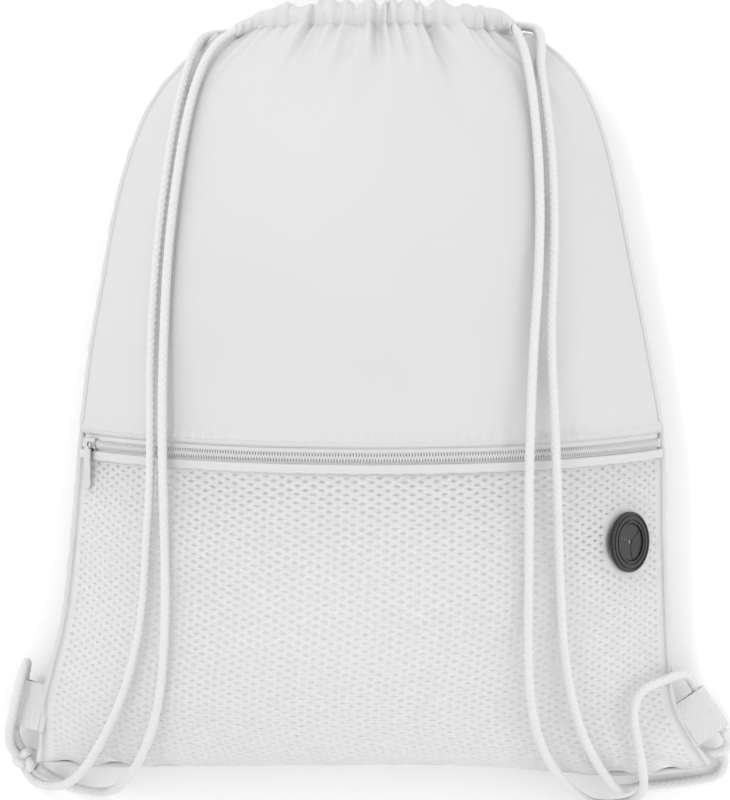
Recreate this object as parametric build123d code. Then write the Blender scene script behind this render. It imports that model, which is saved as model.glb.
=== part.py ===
"""Drawstring backpack lying on its back: a stuffed sack with a zipped mesh pocket and two cord loops.

Frame: +Z is up out of the front panel, +Y runs from the bottom seam to the mouth, +X is to the right
of somebody who looks down on the front. The origin lies on the flat middle of the back panel.
Millimetres and degrees.
"""
from build123d import *
import math
import os

# Sack: its side seams, and the arc that the front makes between them
BOTTOM_Y = -181.0
MOUTH_Y = 181.5
PANEL = 1.2
SEAM_HALF_GAP = 2.1
LEAN = 5.0
LEAN_ENDS_Y = 60.0
CROWN_Y = -60.0
BOTTOM_ROUNDING = 2.6
SECTIONS = (
    # y of the side seams, left edge, right edge, height of the seams, rise of the front above them
    (-181.0, -167.0, 169.0, 17.0, 76.0),
    (-173.0, -166.0, 163.0, 18.0, 76.0),
    (-155.0, -165.0, 152.0, 20.0, 76.0),
    (-140.0, -161.5, 149.0, 22.5, 76.0),
    (-110.0, -154.0, 147.0, 25.0, 76.0),
    (-70.0, -149.0, 145.5, 27.0, 76.0),
    (-21.0, -145.0, 144.5, 27.0, 76.0),
    (20.0, -140.5, 138.0, 28.0, 78.0),
    (60.0, -133.5, 130.0, 30.0, 80.0),
    (100.0, -126.0, 122.0, 32.0, 78.0),
    (130.0, -117.0, 115.0, 33.0, 72.0),
    (150.0, -107.5, 107.5, 34.0, 63.0),
    (165.0, -95.0, 98.0, 35.0, 53.0),
    (181.5, -76.0, 79.0, 37.0, 35.0),
)
BOTTOM_ZONE = 45.0
BOTTOM_CENTRE_LIFT = 9.0
BOTTOM_SAG = ((0.75, 6.5), (-0.8, 2.0))
SAG_SPREAD = 0.3
BACK_FLAT_HALF = 0.6
BACK_FLAT_LOW_Y = -138.0
BACK_FLAT_HIGH_Y = 120.0
BACK_MOUTH_LIFT = 14.0
BACK_BEND = 2.2
BACK_SHAVE = 0.15

# Seams
SEAM_THICK = 1.2
SEAM_WIDE = 5.0
SEAM_INSET = 0.3
SIDE_SEAM_START = 7.0
BOTTOM_SEAM_REACH = 0.97

# Zip, in its own ring coordinates: along the ring's axis, and outwards from the fabric's surface
ZIP_SEAM_Y = -21.0
TAPE_LOW, TAPE_HIGH = -1.0, -0.2
TAPE_GAP = 0.55
UPPER_TAPE_END = 9.0
LOWER_TAPE_END = 8.0
HEM_START = 4.8
HEM_THICK = 1.2
BINDING_START = 3.2
BINDING_THICK = 1.0
COIL_NEAR, COIL_FAR = 0.5, 2.1
COIL_LOW, COIL_HIGH = -0.1, 1.2
EDGE_GAP = 0.3
SLIDER_REST = -52.0
SLIDER_HALF = 4.5
STOP_LONG = 1.8
STOP_GAP = 0.9
STOP_PROUD = 0.2
ZIP_END_GAP = 3.2

# Slider and puller
PLATE_HALF = 3.0
PLATE_THICK = 0.6
LOWER_PLATE_HALF = 3.2
LOWER_PLATE_THICK = 0.9
FLANGE_THICK = 0.6
POST_WIDE, POST_LONG = 0.5, 2.0
PIN_HEIGHT = 3.45
PIN_RADIUS = 0.45
BRIDGE_HALF_WIDE = 0.9
BRIDGE_GAP_HALF = 1.7
BRIDGE_LEG = 1.5
EYE_INNER, EYE_OUTER = 0.6, 1.05
EYE_HALF_LONG = 1.2
PULLER_LONG = 22.0
PULLER_WIDE = 5.4
PULLER_THICK = 0.9
PULLER_NECK = 2.2
PULLER_NECK_LAP = 0.6
PIN_LAP = 0.5
PULLER_DROOP = 0.5

# Pocket
MESH = 1.0
POCKET_GAP = 30.0
POCKET_SKIN_GAP = 1.5
POCKET_TOP_GAP = 3.0
POCKET_BACK_TOP = 18.0
POCKET_BACK_REACH = 0.95
POCKET_BACK_LOW_RISE = 14.0
POCKET_OPENS_OVER = 32.0

# Earphone port
PORT_X, PORT_Y = 125.9, -70.1
PORT_RADIUS = 15.0
PORT_THICK = 2.0
PORT_BORE = 9.6
PORT_NECK_WALL = 1.3
PORT_HOLE = 11.3
PORT_LIFT = 0.5
PORT_TILT = 3.0
PORT_GROOVES = (10.9, 13.3)
PORT_GROOVE_WIDE, PORT_GROOVE_DEEP = 0.7, 0.6
PORT_ROUND = 0.8
PORT_NECK_GAP = 0.2
BACKING_RADIUS = 14.2
BACKING_THICK = 1.0
BACKING_DEPTH = 3.2
FLAP_RADIUS = 9.0
FLAP_HOLE = 1.3
FLAP_SLIT = 0.5
FLAP_THICK = 1.0
FLAP_SWIRL = 75.0
FLAPS = 3
FLAP_LIFT = 0.2

# Cord channels at the mouth
CHANNEL_TALL = 12.0
CHANNEL_THICK = 8.0
CHANNEL_WALL = 1.0
CHANNEL_HALF = 46.0
CORD = 4.6
CORD_SLOTS = (185.3, 190.3)

# Webbing tabs in the side seams
TAB_WIDE = 23.4
TAB_LONG = 19.0
TAB_WEB = 1.2
TAB_LOOP = 4.1
TAB_ROOT = 3.0
TAB_ROOT_HALF = 1.5
TAB_ROOT_PRESS = 0.6
TAB_FOLD_START = 6.0
TAB_FOLD_RADIUS = 0.25
TABS = {
    # where each tab leaves its seam, the direction along the seam, and how far it droops
    "left_tab": ((-165.3, -155.0, 20.0), (-0.2, -0.98), 30.0),
    "right_tab": ((157.8, -164.0, 19.0), (0.555, -0.832), 8.0),
}
KNOTS = {
    # middle, size along x, y and z
    "left_knot": ((-175.5, -182.0, 8.6), (13.5, 14.5, 13.0)),
    "right_knot": ((161.5, -177.0, 6.8), (13.0, 12.0, 12.4)),
}
ARC_SHARE = 0.45

# Working sizes: a lap where two solids are joined, a block that is longer than any hole is deep,
# and a block that is larger than the bag
LAP = 0.1
THROUGH = 20.0
BEYOND = 500.0

# Drawcords outside the channels: the corners of each one's route, from where it leaves the mouth
# or a knot. The left cord's two ends come out on the left, the right cord's on the right.
ROUTES = {
    "left_cord_outer": (
        (-34.5, 185.3, 18.0), (-47.5, 185.3, 18.0), (-61.0, 184.8, 20.0), (-73.5, 183.4, 26.5),
        (-83.5, 181.6, 35.5), (-87.5, 174.5, 44.5), (-91.3, 161.5, 56.0), (-96.0, 138.0, 68.5),
        (-101.2, 101.0, 77.0), (-105.4, 62.0, 76.4), (-107.8, 19.0, 74.8), (-107.3, -9.0, 79.4),
        (-107.5, -40.0, 79.6), (-109.5, -68.0, 75.4), (-111.2, -100.0, 73.4), (-115.2, -123.0, 69.5),
        (-121.3, -143.0, 63.0), (-129.0, -160.5, 54.2), (-137.5, -175.5, 44.5), (-146.0, -187.5, 31.5),
        (-155.5, -194.5, 17.5), (-166.0, -195.5, 8.5), (-174.5, -191.5, 6.5), (-176.0, -185.5, 7.5),
    ),
    "left_cord_inner": (
        (-44.5, 185.3, 58.8), (-54.8, 185.3, 53.42), (-67.0, 182.4, 54.0), (-76.6, 175.4, 56.5),
        (-83.6, 163.0, 63.2), (-89.4, 142.0, 73.6), (-95.0, 106.0, 81.6), (-99.4, 66.0, 81.4),
        (-101.3, 23.0, 79.8), (-101.6, -7.0, 83.4), (-101.3, -38.0, 83.6), (-100.6, -66.0, 80.2),
        (-100.1, -98.0, 80.6), (-101.0, -122.0, 77.4), (-103.4, -144.0, 70.8), (-108.0, -162.5, 62.2),
        (-114.5, -177.5, 54.0), (-122.0, -189.5, 39.0), (-130.5, -197.0, 20.5), (-141.0, -199.0, 6.0),
        (-152.5, -197.0, 2.8), (-162.5, -191.5, 3.8), (-170.0, -186.0, 6.8),
    ),
    "left_cord_tab_loop": (
        (-176.5, -178.5, 8.5), (-180.0, -171.5, 11.4), (-180.6, -165.6, 12.5), (-178.0, -152.4, 12.5),
        (-175.1, -139.0, 12.6), (-173.9, -132.8, 14.2), (-174.0, -131.8, 19.8), (-175.4, -136.4, 23.2),
        (-178.0, -147.0, 24.0), (-180.6, -158.0, 22.8), (-182.8, -167.5, 19.8), (-182.6, -175.8, 14.8),
        (-178.3, -181.0, 10.4),
    ),
    "right_cord_inner": (
        (47.5, 190.3, 58.8), (57.4, 190.3, 53.62), (67.5, 186.6, 54.2), (72.6, 178.0, 58.8),
        (75.8, 165.0, 70.2), (78.6, 142.0, 81.2), (80.9, 106.0, 88.7), (80.4, 66.0, 92.4),
        (77.4, 25.0, 94.0), (76.0, -6.0, 97.4), (75.0, -38.0, 97.6), (75.3, -66.0, 93.4),
        (75.0, -98.0, 91.6), (75.2, -124.0, 87.0), (76.6, -146.0, 79.4), (81.0, -165.0, 70.4),
        (87.5, -179.0, 61.4), (95.6, -189.5, 47.0), (103.5, -198.0, 29.0), (111.2, -203.6, 12.5),
        (120.0, -205.4, 4.6), (128.4, -203.8, 10.0), (133.2, -200.2, 20.5), (135.6, -195.2, 31.0),
        (135.2, -188.0, 39.6), (133.4, -179.0, 43.8), (131.2, -167.5, 46.0), (129.0, -156.5, 47.8),
        (130.6, -147.2, 47.6), (136.6, -142.0, 43.8), (145.5, -139.6, 36.8), (153.4, -137.2, 28.4),
        (158.5, -138.2, 20.8), (162.5, -144.3, 17.0), (170.2, -155.9, 16.8), (177.4, -166.8, 17.0),
        (180.5, -172.6, 15.0), (177.8, -177.5, 12.0), (171.5, -179.0, 10.6), (164.5, -176.5, 9.8),
    ),
    "right_cord_outer": (
        (37.5, 190.3, 18.0), (50.5, 190.3, 18.0), (64.0, 189.6, 20.2), (75.6, 187.2, 27.2),
        (83.4, 184.8, 37.8), (84.0, 176.0, 48.5), (82.2, 163.5, 63.5), (84.4, 145.0, 75.2),
        (87.2, 117.0, 82.4), (88.0, 77.0, 87.4), (85.8, 33.0, 89.2), (87.6, -8.0, 91.2),
        (88.8, -39.0, 90.8), (89.8, -66.0, 85.9), (91.0, -96.0, 83.6), (92.6, -120.0, 78.0),
        (96.2, -141.0, 71.6), (101.2, -159.5, 64.0), (108.0, -174.5, 56.0), (115.6, -186.5, 43.5),
        (122.0, -194.2, 27.0), (128.0, -197.0, 12.5), (136.0, -196.0, 4.6), (147.0, -195.4, 2.6),
        (158.5, -194.2, 2.6), (167.5, -192.8, 2.7), (174.0, -191.6, 2.8), (179.0, -188.0, 3.0),
        (178.6, -181.8, 3.4), (173.0, -179.4, 4.0), (166.0, -179.0, 4.6),
    ),
}


def through(stations, at, column):
    """The smooth curve through one column of a table of stations, at a place along it."""
    last = len(stations) - 1
    i = 0
    while i < last - 1 and at > stations[i + 1][0]:
        i += 1

    def slope(k):
        low, high = stations[max(k - 1, 0)], stations[min(k + 1, last)]
        return (high[column] - low[column]) / (high[0] - low[0])

    start, end = stations[i], stations[i + 1]
    span = end[0] - start[0]
    t = min(max((at - start[0]) / span, 0.0), 1.0)
    return (
        (2 * t**3 - 3 * t**2 + 1) * start[column]
        + (t**3 - 2 * t**2 + t) * span * slope(i)
        + (3 * t**2 - 2 * t**3) * end[column]
        + (t**3 - t**2) * span * slope(i + 1)
    )


def ease(t):
    t = min(max(t, 0.0), 1.0)
    return t * t * (3 - 2 * t)


def edges(y):
    return through(SECTIONS, y, 1), through(SECTIONS, y, 2)


def bottom_share(y):
    """1 at the bottom seam, fading out over the bottom zone."""
    return max(0.0, 1 - (y - BOTTOM_Y) / BOTTOM_ZONE) ** 2


def bottom_sag(across, y):
    """How far the bottom seam hangs below its straight line."""
    hang = sum(depth * math.exp(-(((across - at) / SAG_SPREAD) ** 2)) for at, depth in BOTTOM_SAG)
    return hang * bottom_share(y)


def seam_height(across, y):
    return through(SECTIONS, y, 3) + BOTTOM_CENTRE_LIFT * (1 - across**2) * bottom_share(y)


def lean(y):
    return math.radians(LEAN) * (1 - ease((y - LEAN_ENDS_Y) / (MOUTH_Y - LEAN_ENDS_Y)))


def rise(y):
    """Height of the front's crown above the seams; it rolls over to nothing at the bottom seam."""
    out = min(max((CROWN_Y - y) / (CROWN_Y - BOTTOM_Y), 0.0), 1.0)
    rolled = (1 - out**BOTTOM_ROUNDING) ** (1 / BOTTOM_ROUNDING)
    return max(through(SECTIONS, y, 4) * rolled, 0.5)


def front_point(across, y):
    """A point on the front's outer surface; every section is an arc of a circle that leans a little."""
    left, right = edges(y)
    half = (right - left) / 2
    half_angle = 2 * math.atan(rise(y) / half)
    radius = half / math.sin(half_angle)
    angle = across * half_angle
    up = radius * (math.cos(angle) - math.cos(half_angle))
    return Vector(
        (left + right) / 2 + radius * math.sin(angle),
        y - up * math.sin(lean(y)) - bottom_sag(across, y),
        seam_height(across, y) + SEAM_HALF_GAP + up * math.cos(lean(y)),
    )


def front_normal(across, y):
    step = 0.002
    y_step = 0.2 if y < MOUTH_Y - 1 else -0.2
    side = front_point(across + step, y) - front_point(across - step, y)
    along = (front_point(across, y + y_step) - front_point(across, y)) * (1 if y_step > 0 else -1)
    return side.cross(along).normalized()


def front_sunk(across, y, depth):
    return front_point(across, y) - front_normal(across, y) * depth


def back_point(across, y):
    """A point on the back's outer surface: flat in the middle, turned up to the seams and the mouth."""
    left, right = edges(y)
    out = max(0.0, (abs(across) - BACK_FLAT_HALF) / (1 - BACK_FLAT_HALF)) ** BACK_BEND
    low = max(0.0, (BACK_FLAT_LOW_Y - y) / (BACK_FLAT_LOW_Y - BOTTOM_Y)) ** BACK_BEND
    high = max(0.0, (y - BACK_FLAT_HIGH_Y) / (MOUTH_Y - BACK_FLAT_HIGH_Y)) ** BACK_BEND
    top = seam_height(across, y) - SEAM_HALF_GAP
    mouth = BACK_MOUTH_LIFT / top * high
    return Vector(
        (left + right) / 2 + across * (right - left) / 2,
        y - bottom_sag(across, y),
        top * (1 - (1 - out) * (1 - low) * (1 - mouth)),
    )


def spread(low, high, count):
    return [low + (high - low) * i / (count - 1) for i in range(count)]


def rolled_rows(top_y, lowest_rise):
    """Seam y values from the bottom roll up to a panel's top edge, close together in the roll."""
    rows = []
    for turn in spread(90, 8, 11):
        out = math.sin(math.radians(turn)) ** (2 / BOTTOM_ROUNDING)
        y = CROWN_Y - (CROWN_Y - BOTTOM_Y) * out
        if rise(y) >= lowest_rise:
            rows.append(y)
    return rows + spread(CROWN_Y + 4, top_y, 5)


def sheet(points, thick, up):
    """A sheet of even thickness with the given grid of points on one face."""
    face = Face.make_surface_from_array_of_points(points, tol=0.01, min_deg=3, max_deg=3)
    return Solid.thicken(face, thick, normal_override=up)


# The zip's ring: a circle through both side seams and the crown, in a plane that leans
ZIP_LEFT, ZIP_RIGHT = edges(ZIP_SEAM_Y)
ZIP_HALF = (ZIP_RIGHT - ZIP_LEFT) / 2
ZIP_HALF_ANGLE = 2 * math.atan(rise(ZIP_SEAM_Y) / ZIP_HALF)
ZIP_RADIUS = ZIP_HALF / math.sin(ZIP_HALF_ANGLE)
ZIP_AXIS = Vector(0, math.cos(math.radians(LEAN)), math.sin(math.radians(LEAN)))
ZIP_UP = Vector(0, -math.sin(math.radians(LEAN)), math.cos(math.radians(LEAN)))
ZIP_CENTRE = (
    Vector((ZIP_LEFT + ZIP_RIGHT) / 2, ZIP_SEAM_Y, seam_height(1, ZIP_SEAM_Y) + SEAM_HALF_GAP)
    - ZIP_UP * ZIP_RADIUS * math.cos(ZIP_HALF_ANGLE)
)
ZIP_PLANE = Plane(origin=ZIP_CENTRE, x_dir=ZIP_AXIS, z_dir=(1, 0, 0))
ZIP_SPIN = Axis(ZIP_CENTRE, ZIP_AXIS)


def ring_block(low, high, inner, outer, start, end):
    """A block of the zip's ring: its span along the axis, its heights and its angles."""
    section = Pos((low + high) / 2, ZIP_RADIUS + (inner + outer) / 2) * Rectangle(high - low, outer - inner)
    block = revolve(ZIP_PLANE * section, axis=ZIP_SPIN, revolution_arc=end - start)
    return block.rotate(ZIP_SPIN, start)


def degrees_round_zip(length):
    return math.degrees(length / ZIP_RADIUS)


def zip_rows(first, last, count):
    """Seam y values of sections that lie at set distances from the zip's line."""
    return spread(ZIP_SEAM_Y + first, ZIP_SEAM_Y + last, count)


def front_panels():
    across = spread(-1, 1, 25)
    back_across = spread(-POCKET_BACK_REACH, POCKET_BACK_REACH, 25)
    upper_rows = zip_rows(UPPER_TAPE_END + EDGE_GAP, MOUTH_Y - ZIP_SEAM_Y, 22)
    mesh_top = ZIP_SEAM_Y - LOWER_TAPE_END - EDGE_GAP
    mesh_rows = rolled_rows(mesh_top, 1.0)
    back_rows = rolled_rows(ZIP_SEAM_Y + POCKET_BACK_TOP, POCKET_BACK_LOW_RISE)

    def pocket_depth(a, y):
        top = ZIP_SEAM_Y + POCKET_BACK_TOP
        opened = ease((top - y) / POCKET_OPENS_OVER)
        near_seams = (1 - a**4) * ease((y - BOTTOM_Y) / BOTTOM_ZONE)
        deep = POCKET_TOP_GAP + (POCKET_GAP + MESH - POCKET_TOP_GAP) * opened
        return POCKET_SKIN_GAP + (deep - POCKET_SKIN_GAP) * near_seams

    upper = [[front_point(a, y) for a in across] for y in upper_rows]
    mesh = [[front_point(a, y) for a in across] for y in mesh_rows]
    back = [[front_sunk(a, y, pocket_depth(a, y)) for a in back_across] for y in back_rows]
    down = (0, 0, -1)
    mesh_panel = sheet(mesh, MESH, down) - port_place() * Cylinder(PORT_HOLE, THROUGH)
    return {
        "front_panel_upper": sheet(upper, PANEL, down),
        "mesh_pocket_panel": mesh_panel,
        "pocket_back_panel": sheet(back, PANEL, down),
    }


def back_panel():
    """The back's cloth, pressed truly flat where the bag rests on it."""
    across = spread(-1, 1, 33)
    rows = spread(BOTTOM_Y, MOUTH_Y, 40)
    curved = sheet([[back_point(a, y) for a in across] for y in rows], PANEL, (0, 0, 1))
    below = Box(BEYOND, BEYOND, BEYOND, align=(Align.CENTER, Align.CENTER, Align.MAX))
    return Pos(0, 0, -BACK_SHAVE) * curved - below


def side_seam(side):
    """The overlocked seam allowance inside one side, from above the corner to the mouth."""
    rows = []
    for y in spread(BOTTOM_Y + SIDE_SEAM_START, MOUTH_Y, 30):
        edge = edges(y)[0 if side < 0 else 1]
        height = seam_height(side, y) + SEAM_THICK / 2
        inset = [edge - side * (SEAM_INSET + SEAM_WIDE * share) for share in (0, 0.5, 1)]
        rows.append([Vector(x, y - bottom_sag(side, y), height) for x in inset])
    return sheet(rows, SEAM_THICK, (0, 0, -1))


def bottom_seam():
    """The seam allowance along the bottom, from corner to corner."""
    rows = []
    left, right = edges(BOTTOM_Y)
    for share in (0, 0.5, 1):
        y = BOTTOM_Y + SEAM_INSET + SEAM_WIDE * share
        row = []
        for across in spread(-BOTTOM_SEAM_REACH, BOTTOM_SEAM_REACH, 25):
            x = (left + right) / 2 + across * (right - left) / 2
            height = seam_height(across, BOTTOM_Y) + SEAM_THICK / 2
            row.append(Vector(x, y - bottom_sag(across, BOTTOM_Y), height))
        rows.append(row)
    return sheet(rows, SEAM_THICK, (0, 0, -1))


def zip_pieces():
    end = math.degrees(ZIP_HALF_ANGLE) - degrees_round_zip(ZIP_END_GAP)
    coil_end = -SLIDER_REST + degrees_round_zip(SLIDER_HALF + STOP_GAP / 2)
    pieces = {
        "zip_tape_upper": ring_block(TAPE_GAP, UPPER_TAPE_END, TAPE_LOW, TAPE_HIGH, -end, end),
        "zip_tape_lower": ring_block(-LOWER_TAPE_END, -TAPE_GAP, TAPE_LOW, TAPE_HIGH, -end, end),
        "zip_hem": ring_block(HEM_START, UPPER_TAPE_END, 0, HEM_THICK, -end, end),
        "pocket_top_binding": ring_block(-LOWER_TAPE_END, -BINDING_START, 0, BINDING_THICK, -end, end),
        "zip_coil_upper": ring_block(COIL_NEAR, COIL_FAR, COIL_LOW, COIL_HIGH, -coil_end, coil_end),
        "zip_coil_lower": ring_block(-COIL_FAR, -COIL_NEAR, COIL_LOW, COIL_HIGH, -coil_end, coil_end),
    }
    stop_start = -SLIDER_REST + degrees_round_zip(SLIDER_HALF + STOP_GAP)
    stop_end = stop_start + degrees_round_zip(STOP_LONG)
    top = COIL_HIGH + STOP_PROUD
    for name, low, high in (("left", -stop_end, -stop_start), ("right", stop_start, stop_end)):
        pieces[f"zip_stop_{name}"] = ring_block(-COIL_FAR, COIL_FAR, COIL_LOW, top, low, high)
    return pieces


def at_slider(piece):
    """Takes a piece made at the crown of the zip to where the slider rests."""
    return piece.rotate(ZIP_SPIN, SLIDER_REST)


def along_zip(length, middle=0.0):
    """The start and end angles of something of this length on the zip."""
    return degrees_round_zip(middle - length / 2), degrees_round_zip(middle + length / 2)


def slider_body():
    whole = along_zip(2 * SLIDER_HALF)
    top = COIL_HIGH + EDGE_GAP
    low = TAPE_LOW - EDGE_GAP
    body = ring_block(-PLATE_HALF, PLATE_HALF, top, top + PLATE_THICK, *whole)
    under = (-LOWER_PLATE_HALF, LOWER_PLATE_HALF)
    body += ring_block(*under, low - LOWER_PLATE_THICK, low, *whole)
    for side in (-1, 1):
        flange = sorted((side * PLATE_HALF, side * (PLATE_HALF - FLANGE_THICK)))
        body += ring_block(*flange, TAPE_HIGH + EDGE_GAP, top + LAP, *whole)
    post = along_zip(POST_LONG, SLIDER_HALF - POST_LONG / 2)
    body += ring_block(-POST_WIDE / 2, POST_WIDE / 2, low - LAP, top + LAP, *post)
    return at_slider(body)


PIN_PLACE = Plane(origin=ZIP_CENTRE + ZIP_UP * (ZIP_RADIUS + PIN_HEIGHT), x_dir=ZIP_AXIS, z_dir=(1, 0, 0))


def slider_bridge():
    """The bridge over the slider: two legs with the round bar that the puller hangs on."""
    foot = COIL_HIGH + EDGE_GAP + PLATE_THICK
    head = PIN_HEIGHT + PIN_RADIUS
    bridge = PIN_PLACE * Cylinder(PIN_RADIUS, 2 * (BRIDGE_GAP_HALF + PIN_LAP))
    for side in (-1, 1):
        leg = along_zip(BRIDGE_LEG, side * (BRIDGE_GAP_HALF + BRIDGE_LEG / 2))
        bridge += ring_block(-BRIDGE_HALF_WIDE, BRIDGE_HALF_WIDE, foot, head, *leg)
    return at_slider(bridge)


def puller():
    """A flat tab with a rolled eye round the bar, its far end rounded; it droops to the mesh."""
    eye = Cylinder(EYE_OUTER, 2 * EYE_HALF_LONG)
    neck_long = PULLER_NECK + PULLER_NECK_LAP
    neck = Pos(-neck_long / 2, 0, 0) * Box(neck_long, PULLER_THICK, 2 * EYE_HALF_LONG)
    blade_long = PULLER_LONG - PULLER_NECK - PULLER_WIDE / 2
    blade = Pos(-PULLER_NECK - blade_long / 2, 0, 0) * Box(blade_long, PULLER_THICK, PULLER_WIDE)
    tip = Pos(PULLER_WIDE / 2 - PULLER_LONG, 0, 0) * Rot(90, 0, 0) * Cylinder(PULLER_WIDE / 2, PULLER_THICK)
    tab = eye + neck + blade + tip - Cylinder(EYE_INNER, THROUGH)
    return at_slider(PIN_PLACE * Rot(0, 0, PULLER_DROOP) * tab)


def port_place():
    """The plane of the earphone port's face on the right flank, its x axis down the slope."""
    near = min(
        ((across / 200, y / 2) for across in range(160, 190) for y in range(-150, -130)),
        key=lambda place: (front_point(*place) - Vector(PORT_X, PORT_Y, front_point(*place).Z)).length,
    )
    point, normal = front_point(*near), front_normal(*near)
    slope = Vector(0, 1, 0).cross(normal).normalized()
    face = Plane(origin=point + normal * PORT_LIFT, x_dir=slope, z_dir=normal)
    return Location(face) * Rot(0, PORT_TILT, 0)


def swirl_slit(turn):
    """A curved slit from the port's middle to its rim."""
    reach = FLAP_RADIUS + PORT_NECK_WALL
    middle = Vector(reach / 2, 0).rotate(Axis.Z, FLAP_SWIRL / 2)
    end = Vector(reach, 0).rotate(Axis.Z, FLAP_SWIRL * 0.55)
    arc = ThreePointArc((0, 0), middle, end)
    slit = trace(arc, FLAP_SLIT)
    return Rot(0, 0, turn) * slit


def port_pieces():
    place = port_place()
    neck_outer = PORT_BORE + PORT_NECK_WALL
    neck_deep = BACKING_DEPTH + BACKING_THICK
    flange = Pos(0, 0, PORT_THICK / 2) * Cylinder(PORT_RADIUS, PORT_THICK)
    flange = fillet(flange.edges().group_by(Axis.Z)[-1], PORT_ROUND)
    flange += Pos(0, 0, LAP - neck_deep / 2) * Cylinder(neck_outer, neck_deep + 2 * LAP)
    flange -= Cylinder(PORT_BORE, THROUGH)
    for radius in PORT_GROOVES:
        groove = Cylinder(radius + PORT_GROOVE_WIDE / 2, 2 * PORT_GROOVE_DEEP)
        groove -= Cylinder(radius - PORT_GROOVE_WIDE / 2, 2 * PORT_GROOVE_DEEP)
        flange -= Pos(0, 0, PORT_THICK) * groove
    backing = Cylinder(BACKING_RADIUS, BACKING_THICK) - Cylinder(neck_outer + PORT_NECK_GAP, THROUGH)
    disc = Circle(FLAP_RADIUS) - Circle(FLAP_HOLE)
    for i in range(FLAPS):
        disc -= swirl_slit(360 / FLAPS * i)
    pieces = {
        "port_flange": place * flange,
        "port_backing_ring": place * Pos(0, 0, -BACKING_DEPTH - BACKING_THICK / 2) * backing,
    }
    for i, flap in enumerate(disc.faces(), 1):
        pieces[f"port_flap_{i}"] = place * Pos(0, 0, FLAP_LIFT) * extrude(flap, FLAP_THICK)
    return pieces


# The arc of the front channel is the front's own section at the mouth
MOUTH_LEFT, MOUTH_RIGHT = edges(MOUTH_Y)
MOUTH_X = (MOUTH_LEFT + MOUTH_RIGHT) / 2
MOUTH_HALF = (MOUTH_RIGHT - MOUTH_LEFT) / 2
MOUTH_HALF_ANGLE = 2 * math.atan(rise(MOUTH_Y) / MOUTH_HALF)
MOUTH_RADIUS = MOUTH_HALF / math.sin(MOUTH_HALF_ANGLE)
MOUTH_CENTRE_Z = seam_height(1, MOUTH_Y) + SEAM_HALF_GAP - MOUTH_RADIUS * math.cos(MOUTH_HALF_ANGLE)
CORD_ARC_RADIUS = MOUTH_RADIUS - CHANNEL_THICK / 2
CORD_ARC_END = math.asin(CHANNEL_HALF / CORD_ARC_RADIUS)
BACK_CORD_Z = BACK_MOUTH_LIFT + CHANNEL_THICK / 2
CORD_ARC_END_Z = MOUTH_CENTRE_Z + CORD_ARC_RADIUS * math.cos(CORD_ARC_END)
TURN_RADIUS = (CORD_ARC_END_Z - BACK_CORD_Z) / (1 + math.cos(CORD_ARC_END))
BACK_HALF = CHANNEL_HALF - TURN_RADIUS * math.sin(CORD_ARC_END)


def channel_profile():
    wall = 2 * CHANNEL_WALL
    outer = RectangleRounded(CHANNEL_TALL, CHANNEL_THICK, CHANNEL_THICK / 2 - 0.01)
    inner_thick = CHANNEL_THICK - wall
    return outer - RectangleRounded(CHANNEL_TALL - wall, inner_thick, inner_thick / 2 - 0.01)


def channels():
    middle_y = MOUTH_Y + EDGE_GAP + CHANNEL_TALL / 2
    hub = Plane(origin=(MOUTH_X, 0, MOUTH_CENTRE_Z), x_dir=(0, 1, 0), z_dir=(1, 0, 0))
    spin = Axis((MOUTH_X, 0, MOUTH_CENTRE_Z), (0, 1, 0))
    end = math.degrees(CORD_ARC_END)
    front = revolve(hub * Pos(middle_y, CORD_ARC_RADIUS) * channel_profile(), spin, 2 * end)
    back_start = Plane(origin=(MOUTH_X - BACK_HALF, middle_y, BACK_CORD_Z), x_dir=(0, 1, 0), z_dir=(1, 0, 0))
    return {
        "front_channel": front.rotate(spin, -end),
        "back_channel": extrude(back_start * channel_profile(), 2 * BACK_HALF),
    }


def cord_in_channels(side, y):
    """One cord's hidden stretch: through the front channel, round past one end, back through the other."""
    def place(x, z):
        return Vector(MOUTH_X + side * x, y, z)

    top = MOUTH_CENTRE_Z + CORD_ARC_RADIUS
    turn_z = BACK_CORD_Z + TURN_RADIUS
    half_way = (math.pi / 2 - CORD_ARC_END) / 2
    start = place(-CHANNEL_HALF, CORD_ARC_END_Z)
    turn = place(CHANNEL_HALF, CORD_ARC_END_Z)
    bulge_x = BACK_HALF + TURN_RADIUS * math.cos(half_way / 2)
    bulge = place(bulge_x, turn_z + TURN_RADIUS * math.sin(half_way / 2))
    under = place(BACK_HALF, BACK_CORD_Z)
    path = Wire([
        ThreePointArc(start, place(0, top), turn),
        ThreePointArc(turn, bulge, under),
        Line(under, place(-BACK_HALF, BACK_CORD_Z)),
    ])
    return sweep(Plane(origin=start, z_dir=path % 0) * Circle(CORD / 2), path=path)


def tab(root, along, droop):
    """A webbing loop sewn into a side seam: the fold holds the cord, both ends go into the seam."""
    middle = TAB_LONG - TAB_LOOP
    outer = make_hull(
        (Pos(middle, 0) * Circle(TAB_LOOP)).edges() + Rectangle(2 * LAP, 2 * TAB_ROOT_HALF).edges()
    )
    fold = Pos(TAB_FOLD_START, 0) * Circle(TAB_FOLD_RADIUS)
    inner = make_hull((Pos(middle, 0) * Circle(TAB_LOOP - TAB_WEB)).edges() + fold.edges())
    root_strip = Pos(-TAB_ROOT / 2, 0) * Rectangle(TAB_ROOT + 4 * LAP, 2 * (TAB_ROOT_HALF - TAB_ROOT_PRESS))
    loop = extrude(outer - inner + root_strip, TAB_WIDE / 2, both=True)
    outward = Vector(along[1], -along[0], 0).normalized()
    if outward.X * root[0] < 0:
        outward = outward * -1
    dipped = outward * math.cos(math.radians(droop)) + Vector(0, 0, -math.sin(math.radians(droop)))
    face = Plane(origin=root, x_dir=dipped, z_dir=Vector(*along, 0).normalized())
    return Location(face) * loop


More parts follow.
